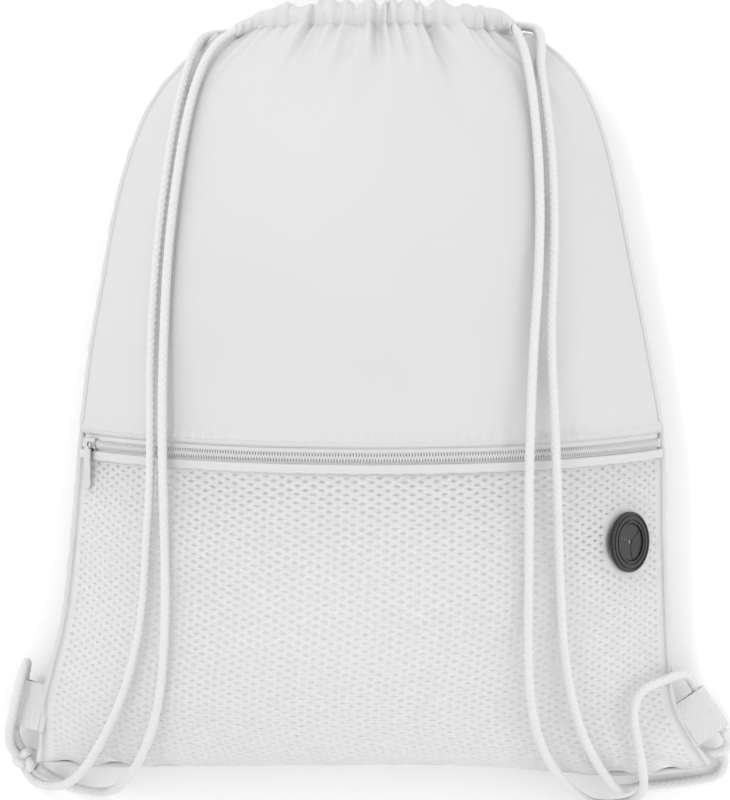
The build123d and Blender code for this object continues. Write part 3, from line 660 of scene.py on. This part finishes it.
def braid(run, angle):
    """A round braid's bumps: strands that cross both ways round the cord."""
    turn = 2 * math.pi * run / BRAID_PITCH
    strands = np.maximum(np.cos(4 * angle + turn), np.cos(4 * angle - turn))
    return 0.93 + 0.07 * strands


def cord_piece(name, line):
    """A braided cord along a line."""
    return tube(name, evenly(line, BRAID_STEP), CORD / 2, BRAID_SIDES, braid)


lines = {name: spline_line(name, points) for name, points in ROUTES.items()}
for name, line in lines.items():
    wear(cord_piece(f"{name}_braid", line), CORD_LOOK, "drawcord", name)


def knot_line(centre, size, turn):
    """An overhand knot drawn tight: a trefoil squeezed into the knot's box."""
    t = np.linspace(0, 2 * math.pi, 180, endpoint=False)
    shape = np.stack([np.sin(t) + 2 * np.sin(2 * t), np.cos(t) - 2 * np.cos(2 * t), -np.sin(3 * t)], -1)
    room = (np.array(size) - CORD) / 2 / np.array([3.0, 3.0, 1.0])
    spin = np.array(Matrix.Rotation(math.radians(turn), 3, "Z"))
    return np.array(centre) + (shape * room) @ spin.T


for name, turn in (("left_knot", 20), ("right_knot", -15)):
    low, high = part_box(name)
    middle, size = (low + high) / 2, high - low
    piece = tube(f"{name}_cord", knot_line(middle, size, turn), CORD / 2, BRAID_SIDES, braid, closed=True)
    wear(piece, CORD_LOOK, "drawcord", name)


def channel_line(side, y):
    """One cord's hidden stretch: along the front channel, round past one end, back along the other."""
    arc = np.linspace(-CHANNEL_END, CHANNEL_END, 60)
    over = np.stack([
        MOUTH_X + side * CHANNEL_RADIUS * np.sin(arc),
        np.full(60, y),
        MOUTH_CENTRE_Z + CHANNEL_RADIUS * np.cos(arc),
    ], axis=-1)
    end_z = MOUTH_CENTRE_Z + CHANNEL_RADIUS * math.cos(CHANNEL_END)
    turn_radius = (end_z - BACK_CHANNEL_Z) / (1 + math.cos(CHANNEL_END))
    middle_x = CHANNEL_HALF - turn_radius * math.sin(CHANNEL_END)
    bend = np.linspace(math.pi / 2 - CHANNEL_END, -math.pi / 2, 40)
    round_end = np.stack([
        MOUTH_X + side * (middle_x + turn_radius * np.cos(bend)),
        np.full(40, y),
        BACK_CHANNEL_Z + turn_radius + turn_radius * np.sin(bend),
    ], axis=-1)
    under = np.array([[MOUTH_X - side * BACK_CHANNEL_HALF, y, BACK_CHANNEL_Z]])
    return np.concatenate([over, round_end[1:], under])


for name, side in (("left", 1), ("right", -1)):
    piece = cord_piece(f"{name}_cord_hidden_braid", channel_line(side, CORD_SLOTS[name]))
    wear(piece, CORD_LOOK, "drawcord", f"{name}_cord_in_channels")


# ---------- folds

def soft_noise(x, y, seed, cells):
    """Smooth random hills, from -1 to 1, over x and y counted in cells."""
    rng = np.random.default_rng(seed)
    table = rng.uniform(-1, 1, (cells + 3, cells + 3))
    x, y = np.clip(x, 0, 1) * cells, np.clip(y, 0, 1) * cells
    i, j = np.floor(x).astype(int), np.floor(y).astype(int)
    s, t = ease(x - i), ease(y - j)
    return (
        table[i, j] * (1 - s) * (1 - t) + table[i + 1, j] * s * (1 - t)
        + table[i, j + 1] * (1 - s) * t + table[i + 1, j + 1] * s * t
    )


def random_creases():
    """Gathers at the mouth: where each crease starts, its depth, width, reach and slant."""
    made = []
    place = -0.66
    while place < 0.66:
        made.append((
            place,
            random.uniform(0.0007, 0.0024),
            random.uniform(0.012, 0.028),
            random.uniform(0.015, 0.045),
            random.uniform(-1.2, 1.2),
        ))
        place += random.uniform(0.055, 0.11)
    return made


CREASES = random_creases() + [
    # the deeper ones: start, depth, width, reach, slant
    (0.30, 0.0045, 0.040, 0.075, 0.4),
    (0.47, -0.0030, 0.050, 0.060, 0.6),
    (-0.42, -0.0030, 0.045, 0.035, 1.0),
    (0.66, 0.0030, 0.022, 0.050, 2.2),
    (-0.10, 0.0025, 0.030, 0.060, -2.0),
    (0.02, 0.0022, 0.030, 0.085, -1.2),
]


def gathers(across, down):
    """Height of the gathers below the mouth; a crease sinks, and its cloth swells beside it."""
    total = np.zeros(np.broadcast(across, down).shape)
    for start, depth, width, reach, slant in CREASES:
        left = np.clip(1 - down / reach, 0, 1) ** 1.4
        middle = start + slant * down
        spreading = width * (1 + down / 0.05)
        away = (across - middle) / spreading
        total -= depth * left * (np.exp(-(away**2)) - 0.35 * np.exp(-(((np.abs(away) - 1.9) / 0.9) ** 2)))
    return total


LONG_FOLDS = (
    # soft folds of the front: start across and y, end across and y, width, height
    ((-0.35, 0.150), (-0.62, 0.060), 0.010, 0.0012),
    ((-0.20, 0.120), (-0.45, 0.040), 0.016, -0.0010),
    ((0.10, 0.150), (0.28, 0.095), 0.012, -0.0018),
    ((0.30, 0.020), (0.62, 0.085), 0.016, -0.0014),
    ((0.45, -0.005), (0.80, 0.045), 0.012, 0.0014),
    ((-0.70, 0.010), (-0.30, 0.030), 0.018, -0.0010),
    ((0.05, 0.010), (0.25, 0.055), 0.020, 0.0010),
    ((0.70, 0.155), (0.86, 0.110), 0.010, -0.0014),
    ((-0.75, 0.150), (-0.86, 0.100), 0.010, -0.0012),
)


def long_folds(across, y):
    """Height of the soft folds, each fading away from its line and towards its ends."""
    total = np.zeros(np.broadcast(across, y).shape)
    half_width = ZIP_HALF_WIDTH
    for (a0, y0), (a1, y1), width, height in LONG_FOLDS:
        dx, dy = (a1 - a0) * half_width, y1 - y0
        px, py = (across - a0) * half_width, y - y0
        t = (px * dx + py * dy) / (dx * dx + dy * dy)
        off = np.hypot(px - np.clip(t, 0, 1) * dx, py - np.clip(t, 0, 1) * dy)
        fade = np.clip(1 - np.abs(2 * t - 1) ** 2.5, 0.0, 1)
        total += height * fade * np.exp(-((off / width) ** 2))
    return total


# ---------- cloth panels

def rows_between(low, high, count, crowd=1.0):
    """Places from low to high, closer together towards high as crowd grows."""
    share = 1 - (1 - np.linspace(0, 1, count)) ** crowd
    return low + (high - low) * share


def ruffle(across, sharpness=1.0):
    """How deep the gathers pinch at each place along the mouth, from 0 to about 1."""
    total = np.zeros(np.shape(across))
    for start, depth, width, _, _ in CREASES:
        pinch = min(abs(depth) / 0.0025, 1.3)
        total += pinch * np.exp(-(((across - start) / (width * sharpness)) ** 2))
    return total


def ruffle_top(across):
    """The height of the mouth's scalloped edge: bumps between the gathers, lower at the shoulders."""
    swell = 0.35 * np.sin(across * 47 + 3) + 0.3 * np.sin(across * 21 + 1)
    shoulder = ease((np.abs(across) - SHOULDER_START) / (SHOULDER_END - SHOULDER_START))
    full = MOUTH_TOP + RUFFLE_TALL * (0.5 * swell - ruffle(across))
    return full + (MOUTH_Y + SHOULDER_EDGE - full) * shoulder


def front_cloth():
    """The upper front in one piece, from the zip's hem to the gathered edge that hides the cords."""
    across = np.linspace(-1, 1, 321)[None, :]
    y = rows_between(ZIP_SEAM_Y + HEM_START, MOUTH_Y, 150, 1.5)[:, None]
    edge_fade = ease((1 - np.abs(across)) / 0.10)
    above_zip = y - ZIP_SEAM_Y
    hem = HEM_RISE * (1 - ease((above_zip - HEM_END + 0.0004) / 0.0008))
    puckers = 0.00025 * np.sin(across * 150 + 2 * np.sin(across * 23)) * np.exp(
        -(((above_zip - HEM_END) / 0.0045) ** 2)
    )
    low_fade = ease((above_zip - HEM_END) / 0.030)
    hills = 0.0011 * soft_noise(across / 2 + 0.5, (y + 0.03) / 0.22, 3, 6)
    over_casing = ease((RUFFLE_FILLS - np.abs(across)) / 0.2)
    rounded = KNEE * np.clip(1 - (MOUTH_Y - y) / KNEE_HALF, 0, 1) ** 2
    filled = (RUFFLE_FILL * ease((y - MOUTH_Y) / RUFFLE_FILL_OVER + 1) - rounded) * over_casing
    height = (
        hem + puckers + filled
        + gathers(across, MOUTH_Y - y) * edge_fade
        + (long_folds(across, y) + hills) * edge_fade * low_fade
    )
    panel = front(across, y) + front_normal(across, y) * height[..., None]

    share = np.linspace(0, 1, RUFFLE_ROWS + 1)[1:, None]
    edge = front(across, np.full_like(across, MOUTH_Y))
    outward = front_normal(across, np.full_like(across, MOUTH_Y))
    pleats = gathers(across, 0 * share) * edge_fade
    past_knee = share * (MOUTH_TOP - MOUTH_Y)
    fill = (RUFFLE_FILL - KNEE * np.clip(1 - past_knee / KNEE_HALF, 0, 1) ** 2) * over_casing
    over_cords = np.maximum(pleats, -CORD_COVER - fill)
    settled = fill + pleats + (over_cords - pleats) * ease(share / 0.5)
    rolled = RUFFLE_ROLL * ease((share - 0.45) / 0.55) ** 2 * over_casing
    ruffled = edge + outward * (settled - rolled)[..., None]
    ruffled[..., 1] = MOUTH_Y + share * (ruffle_top(across) - MOUTH_Y)
    ruffled[..., 0] += RUFFLE_SLANT * np.sin(across * 33 + 1) * share * edge_fade
    piece = cloth_grid("front_cloth", np.concatenate([panel, ruffled]))
    wear(piece, CLOTH_LOOK, "plain_cloth", "front_panel_upper", "zip_hem")


def back_cloth():
    """The back, flat where the bag lies on it, uneven towards its edges."""
    across = np.linspace(-1, 1, 141)[None, :]
    y = np.linspace(BOTTOM_Y, MOUTH_Y, 150)[:, None]
    lift = ease((np.abs(across) - 0.5) / 0.3) * ease((1 - np.abs(across)) / 0.08)
    lift = np.maximum(lift, ease((y - 0.11) / 0.04) * ease((1 - np.abs(across)) / 0.15))
    waves = 0.0010 * (0.6 + soft_noise(across / 2 + 0.5, (y + 0.2) / 0.4, 5, 9)) * lift
    points = back(across, y) + np.stack([0 * waves, 0 * waves, waves], axis=-1)
    points[..., 2] = np.maximum(points[..., 2], 0)
    near_mouth = ease((1 - np.abs(across)) / 0.1) * ease((y - 0.12) / 0.05)
    points[..., 2] -= gathers(across, MOUTH_Y - y) * near_mouth
    piece = cloth_grid("back_cloth", points[:, ::-1])
    wear(piece, CLOTH_LOOK, "plain_cloth", "back_panel")


def crown_rows(top_y, count):
    """Seam y values whose crown points lie evenly down the front and round the bottom roll."""
    y = BOTTOM_Y + (top_y - BOTTOM_Y) * np.linspace(0, 1, 4000) ** 2
    crown = front(np.zeros(1), y)
    run = running(crown)
    return np.interp(np.linspace(0, run[-1], count), run, y), run[-1]


def pocket_hills(across, y):
    """The filled pocket's soft unevenness, with creases in its lower corners."""
    hills = 0.0013 * soft_noise(across / 2 + 0.5, (y + 0.19) / 0.17, 11, 7)
    corner = ease((np.abs(across) - 0.45) / 0.4) * bottom_share(y - 0.01)
    creases = 0.0012 * np.sin(across * 38 + y * 160) * corner
    return (hills + creases) * ease((1 - np.abs(across)) / 0.12)


def net_cloth():
    """The pocket's net: a staggered lattice of oval holes in a thin knit, open round the port."""
    top_y = ZIP_SEAM_Y - NET_TOP
    _, run = crown_rows(top_y, 10)
    rows = int(round(run / NET_ROW))
    y_rows, _ = crown_rows(top_y, rows + 1)
    columns = NET_COLUMNS

    def place(i, j):
        """The surface at a place counted in rows and columns."""
        y = np.interp(i, np.arange(rows + 1), y_rows)
        across = 2 * np.asarray(j, float) / columns - 1
        height = pocket_hills(across, y) - NET_SINK
        points = front(across, y) + front_normal(across, y) * height[..., None]
        away = points - np.array(PORT_CENTRE)
        apart = np.linalg.norm(away, axis=-1, keepdims=True)
        return np.where(apart < NET_HOLE, PORT_CENTRE + away * NET_HOLE / apart, points)

    known = {}
    verts = []

    def lattice(i, j):
        """The index of the lattice's own point there, made when it is first asked for."""
        if (i, j) not in known:
            known[i, j] = len(verts)
            verts.append((i, j))
        return known[i, j]

    grid_i, grid_j = np.meshgrid(np.arange(rows + 1), np.arange(columns + 1), indexing="ij")
    spots = place(grid_i.ravel(), grid_j.ravel()).reshape(rows + 1, columns + 1, 3)
    from_port = np.linalg.norm(spots - np.array(PORT_CENTRE), axis=-1)
    wander = dice.normal(0, HOLE_WANDER, (rows + 1, columns + 1, 2))
    faces = []
    for i in range(rows + 1):
        for j in range(i % 2, columns + 1, 2):
            cell = [(i + di, j + dj) for di, dj in COMPASS]
            inside = [(k, l) for k, l in cell if 0 <= k <= rows and 0 <= l <= columns]
            ring = [lattice(*corner) for corner in inside]
            by_seam = abs(2 * j / columns - 1) > NET_SOLID_FROM
            if len(inside) < len(cell) or by_seam or from_port[i, j] < NET_SOLID_ROUND_PORT:
                middle = lattice(i, j)
                for first, second in zip(inside, inside[1:] + inside[:1]):
                    if math.dist(first, second) < 1:
                        faces.append([middle, lattice(*first), lattice(*second)])
                continue
            shift_i, shift_j = wander[i, j]
            hole = range(len(verts), len(verts) + len(COMPASS))
            for k, (di, dj) in enumerate(COMPASS):
                rounding = HOLE_ROUNDING if k % 2 else 1.0
                verts.append((
                    i + shift_i + di * HOLE_TALL * rounding,
                    j + shift_j + dj * HOLE_WIDE * rounding,
                ))
            for k in range(len(COMPASS)):
                after = (k + 1) % len(COMPASS)
                faces.append([ring[k], ring[after], hole[after], hole[k]])
    # the faces that lie wholly in the port's hole are left out, with the points only they use
    where = np.array(verts)
    points = place(where[:, 0], where[:, 1])
    outside = np.linalg.norm(points - np.array(PORT_CENTRE), axis=-1) > NET_HOLE + ON_EDGE
    faces = [face for face in faces if any(outside[k] for k in face)]
    used = sorted({k for face in faces for k in face})
    number = {k: index for index, k in enumerate(used)}
    faces = [[number[k] for k in face] for face in faces]
    piece = new_object("net_cloth", points[used], faces)
    thicken(piece, NET_THREAD)
    wear(piece, NET_LOOK, "mesh_cloth", "mesh_pocket_panel")


def pocket_back_cloth():
    """The pocket's own back, sewn in at the seams and hanging free of the net between them."""
    across = np.linspace(-0.99, 0.99, 101)[None, :]
    top = ZIP_SEAM_Y + POCKET_BACK_TOP
    y = crown_rows(top, 110)[0][:, None]
    opened = ease((top - y) / POCKET_OPENS_OVER)
    near_seams = (1 - across**4) * ease((y - BOTTOM_Y) / BOTTOM_ZONE)
    deep = POCKET_TOP_GAP + (POCKET_GAP - POCKET_TOP_GAP) * opened
    depth = POCKET_SKIN_GAP + (deep - POCKET_SKIN_GAP) * near_seams
    points = front(across, y) - front_normal(across, y) * depth[..., None]
    piece = cloth_grid("pocket_back_cloth", points)
    # this cloth is painted lighter than the front, to cancel the shade in the pocket behind the net
    wear(piece, LIGHTENED_INNER_LOOK, "plain_cloth", "pocket_back_panel")


def cord_start(name, reach):
    """The first stretch of a cord's line, up to a distance from the bag's middle."""
    line = evenly(lines[name], 0.0008)
    return line[: int(np.argmax(np.abs(line[:, 0] - MOUTH_X) > reach))]


def casing(name, middle, left_cord, right_cord, replaced, thick_out, lowered):
    """A gathered casing: an oval tube along the mouth's edge that narrows to let the cords out."""
    line = evenly(np.concatenate([left_cord[::-1], middle, right_cord]), 0.0004)
    x = line[:, 0] - MOUTH_X
    past = ease((np.abs(x) - CASING_STRAIGHT) / (CASING_REACH - CASING_STRAIGHT))
    across = np.arcsin(np.clip(x / MOUTH_RADIUS, -1, 1)) / MOUTH_HALF_ANGLE
    pinch = ruffle(across) * (1 - 0.5 * past)
    sleeve_top = line[:, 1] + CORD / 2 + 0.0013
    full_top = MOUTH_TOP - lowered + RUFFLE_TALL * (0.35 * np.sin(across * 47 + 3) - 0.8 * pinch)
    full_top = np.maximum(full_top, line[:, 1] + CORD / 2 + 0.0008)
    top = full_top + (sleeve_top - full_top) * past
    low = np.minimum(MOUTH_Y + 0.0002, line[:, 1] - CORD / 2 - 0.0011)
    heading = unit(np.gradient(line, axis=0))
    heading[:, 1] = 0
    outward = np.cross(unit(heading), (0, 1, 0))
    angle = np.linspace(0, 2 * math.pi, CASING_SIDES, endpoint=False)[None, :]
    share = (np.cos(angle) + 1) / 2
    out = np.sin(angle)
    folds = 0.0007 * np.sin(across * 90)[:, None] * np.sin(math.pi * share)
    thick = np.where(out > 0, thick_out, 0.0038)
    reach = out * thick + folds * np.sign(out) * (np.abs(out) > 0.3) * past[:, None]
    points = np.stack([
        line[:, None, 0] + outward[:, None, 0] * reach,
        low[:, None] + (top - low)[:, None] * share,
        line[:, None, 2] + outward[:, None, 2] * reach,
    ], axis=-1)
    run = np.linspace(0, length_of(line), len(line))[:, None]
    uv = np.stack(np.broadcast_arrays(run, angle * CHANNEL_TALL / 2), axis=-1)
    faces = grid_faces(len(line), CASING_SIDES, wrap=True)
    piece = new_object(name, points, faces, uv)
    thicken(piece, CLOTH)
    wear(piece, CLOTH_LOOK, "plain_cloth", replaced)


def casings():
    """The front and back casings, each out to where its cords leave the mouth."""
    arc = np.linspace(-CHANNEL_END, CHANNEL_END, 60)
    middle = np.stack([
        MOUTH_X + CHANNEL_RADIUS * np.sin(arc),
        np.full(60, CHANNEL_MIDDLE_Y),
        MOUTH_CENTRE_Z + CHANNEL_RADIUS * np.cos(arc),
    ], axis=-1)
    left = cord_start("left_cord_inner", CASING_REACH)
    right = cord_start("right_cord_inner", CASING_REACH)
    casing("front_casing", middle[3:-3], left, right, "front_channel", 0.0034, 0.0012)
    x = np.linspace(-BACK_CHANNEL_HALF, BACK_CHANNEL_HALF, 40)
    middle = np.stack([MOUTH_X + x, 0 * x + CHANNEL_MIDDLE_Y, 0 * x + BACK_CHANNEL_Z], axis=-1)
    left, right = cord_start("left_cord_outer", CASING_REACH), cord_start("right_cord_outer", CASING_REACH)
    casing("back_casing", middle[3:-3], left, right, "back_channel", 0.0038, 0.0)


# ---------- seams, stitches, teeth

def seam_strip(name, line, wide, thick, sideways):
    """A rolled seam allowance: a flat tube along a seam line, slightly uneven."""
    line = evenly(line, 0.0012)
    run = running(line)[:, None]
    angle = np.linspace(0, 2 * math.pi, SEAM_SIDES, endpoint=False)[None, :]
    uneven = 1 + 0.10 * np.sin(run * 420) * np.sin(run * 93 + 1)
    heading = unit(np.gradient(line, axis=0))
    side = unit(np.cross(heading, np.cross(sideways, heading)))
    over = np.cross(heading, side)
    points = (
        line[:, None]
        + side[:, None] * (np.cos(angle) * wide * uneven)[..., None]
        + over[:, None] * (np.sin(angle) * thick * uneven)[..., None]
    )
    faces = grid_faces(len(line), SEAM_SIDES, wrap=True) + end_caps(len(line), SEAM_SIDES)
    uv = np.stack(np.broadcast_arrays(angle * thick, run), axis=-1)
    return new_object(name, points, faces, uv)


def side_line(edge):
    """The line of one side seam, from the bottom to the mouth."""
    y = np.linspace(BOTTOM_Y, MOUTH_Y, 240)
    across = np.full_like(y, edge)
    return (front(across, y) + back(across, y)) / 2


def seams():
    """The seam allowances at both sides and along the bottom."""
    for name, edge in (("left", -1), ("right", 1)):
        outward = np.array([float(edge), 0, 0])
        piece = seam_strip(f"{name}_seam_allowance", side_line(edge), 0.0022, 0.0015, outward)
        wear(piece, CLOTH_LOOK, "plain_cloth", f"side_seam_{name}")
    across = np.linspace(-0.99, 0.99, 300)
    y = np.full(300, BOTTOM_Y)
    line = (front(across, y) + back(across, y)) / 2
    piece = seam_strip("bottom_seam_allowance", line, 0.0016, 0.0014, np.array([0, -1.0, 0]))
    wear(piece, CLOTH_LOOK, "plain_cloth", "bottom_seam")


def stitches(name, line, normals):
    """A row of lockstitches: short threads that dip into the cloth at both ends."""
    run = running(line)
    verts, faces = [], []
    rings, sides = 5, 6
    angle = np.linspace(0, 2 * math.pi, sides, endpoint=False)
    for start in np.arange(0, run[-1] - STITCH_LONG, STITCH_PITCH):
        share = np.linspace(0, 1, rings)
        at = start + share * STITCH_LONG
        middle = np.stack([np.interp(at, run, line[:, k]) for k in range(3)], axis=-1)
        normal = unit(np.stack([np.interp(at, run, normals[:, k]) for k in range(3)], axis=-1))
        middle = middle + normal * (0.00028 * np.sin(share * math.pi) - 0.00008)[:, None]
        heading = unit(middle[-1:] - middle[:1])
        side = np.cross(heading, normal)
        size = STITCH_RADIUS * (0.55 + 0.45 * np.sin(share * math.pi))
        ring = (
            middle[:, None]
            + side[:, None] * (np.cos(angle)[None] * size[:, None])[..., None]
            + normal[:, None] * (np.sin(angle)[None] * size[:, None])[..., None]
        )
        first = len(verts)
        verts.extend(ring.reshape(-1, 3).tolist())
        faces.extend(grid_faces(rings, sides, wrap=True, start=first))
        faces.extend(end_caps(rings, sides, start=first))
    wear(new_object(name, verts, faces), STITCH_LOOK, "plain_cloth")


def zip_stitches(name, along, out):
    """A row of stitches round the zip's ring."""
    angle = np.linspace(-ZIP_HALF_ANGLE * 0.99, ZIP_HALF_ANGLE * 0.99, 900)
    line = on_zip(angle, along, out)
    stitches(name, line, unit(on_zip(angle, along, out + 0.01) - line))


def zip_teeth(half, side):
    """One half of the zip's coil: a row of nylon loops that reach over the middle line."""
    count = int(2 * ZIP_HALF_ANGLE * 0.985 * ZIP_RADIUS / TOOTH_PITCH)
    sides = 8
    around = np.linspace(0, 2 * math.pi, sides, endpoint=False)
    # a tooth: across the zip from the tape to just past the middle, then its head
    path = np.array([
        # along the zip's axis, above the tape
        (0.0017, 0.0001), (0.0017, 0.0007), (0.0013, 0.0011), (0.0005, 0.0012),
        (-0.0003, 0.0010), (-0.0005, 0.0006), (-0.0003, 0.0002), (0.0005, 0.0),
    ])
    thick = 0.00046
    verts, faces = [], []
    for k in range(count):
        angle = (k + 0.5 + (0.25 if side > 0 else -0.25) - count / 2) * TOOTH_PITCH / ZIP_RADIUS
        middle = on_zip(np.full(len(path), angle), side * path[:, 0], path[:, 1])
        tangent = np.cos(angle) * np.array([1.0, 0, 0]) - np.sin(angle) * ZIP_UP
        inside = unit(middle - middle.mean(axis=0))
        first = len(verts)
        ring = (
            middle[:, None]
            + inside[:, None] * (np.cos(around) * thick)[None, :, None]
            + tangent[None, None] * (np.sin(around) * thick)[None, :, None]
        )
        verts.extend(ring.reshape(-1, 3).tolist())
        faces.extend(grid_faces(len(path), sides, wrap=True, start=first))
        faces.extend(end_caps(len(path), sides, start=first))
    piece = new_object(f"zip_teeth_{half}", verts, faces)
    wear(piece, NYLON_LOOK, "zip_teeth", f"zip_coil_{half}")


def zip_parts():
    """The teeth of both halves of the coil, and the two rows of stitches beside the zip."""
    zip_teeth("upper", 1)
    zip_teeth("lower", -1)
    zip_stitches("hem_stitches", HEM_END - 0.0012, HEM_RISE + 0.0003)
    zip_stitches("binding_stitches", -BINDING_END + 0.0012, 0.0012)


def binding():
    """The folded strip along the net's top edge."""
    angle = np.linspace(-ZIP_HALF_ANGLE, ZIP_HALF_ANGLE, 500)[:, None]
    profile = np.array([
        # along the axis below the zip, above the ring
        (0.0, 0.0), (0.0, 0.0007), (0.0003, 0.0012), (0.0012, 0.0014), (0.0024, 0.0014),
        (0.0036, 0.0014), (0.0045, 0.0012), (0.0048, 0.0007), (0.0048, 0.0),
    ])
    wave = 0.00012 * np.sin(angle * 150) + 0.00010 * np.sin(angle * 61 + 1)
    along = -BINDING_START - profile[None, :, 0] + wave * (profile[None, :, 0] > 0.003)
    points = on_zip(angle, along, profile[None, :, 1])
    piece = new_object("pocket_binding", points, grid_faces(500, 9, wrap=True))
    wear(piece, CLOTH_LOOK, "plain_cloth", "pocket_top_binding")


# ---------- everything

front_cloth()
back_cloth()
pocket_back_cloth()
net_cloth()
casings()
seams()
zip_parts()
binding()


# ---------- pieces shown as packed

def dress_packed():
    """Gives the pieces that are shown as packed their looks."""
    looks = (
        (TAPE_LOOK, ("zip_tape_upper", "zip_tape_lower")),
        (NYLON_LOOK, ("zip_stop_left", "zip_stop_right")),
        (METAL_LOOK, ("slider_body", "slider_bridge", "puller")),
        (RUBBER_LOOK, ("port_flange", "port_backing_ring", "port_flap_1", "port_flap_2", "port_flap_3")),
        (WEBBING_LOOK, ("left_tab", "right_tab")),
    )
    for look, names in looks:
        for name in names:
            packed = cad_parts[name]
            packed.data.materials.clear()
            packed.data.materials.append(look)


# ---------- light and floor

def floor():
    """The plain pale floor that the bag lies on."""
    corners = [(x * FLOOR_HALF, y * FLOOR_HALF, FLOOR_Z) for x, y in ((-1, -1), (1, -1), (1, 1), (-1, 1))]
    sheet = new_object("floor", corners, [[0, 1, 2, 3]], smooth=False)
    look, tree, shader = new_material("pale_floor", FLOOR_WHITE, 0.9)
    mottled(tree, shader, FLOOR_WHITE, 2, 0.004)
    sheet.data.materials.append(look)


def area_light(name, place, target, size, power):
    """A round soft light that faces its target."""
    data = bpy.data.lights.new(name, "AREA")
    data.shape = "DISK"
    data.size = size
    data.energy = power
    lamp = bpy.data.objects.new(name, data)
    lamp.location = place
    toward = Vector(target) - Vector(place)
    lamp.rotation_euler = toward.to_track_quat("-Z", "Y").to_euler()
    bpy.context.scene.collection.objects.link(lamp)


def studio():
    """Even white surroundings with two soft lights."""
    sky = bpy.data.worlds.new("studio")
    sky.use_nodes = True
    glow = sky.node_tree.nodes["Background"]
    glow.inputs["Color"].default_value = (1, 1, 1, 1)
    glow.inputs["Strength"].default_value = WORLD_LIGHT
    bpy.context.scene.world = sky
    bpy.context.scene.view_settings.view_transform = "Standard"
    area_light("key", (-0.9, 1.0, 1.7), (0, 0, 0), 0.5, 9)
    area_light("right_fill", (1.6, -0.6, 0.7), (0.1, 0, 0), 1.2, 4)


dress_packed()
floor()
studio()
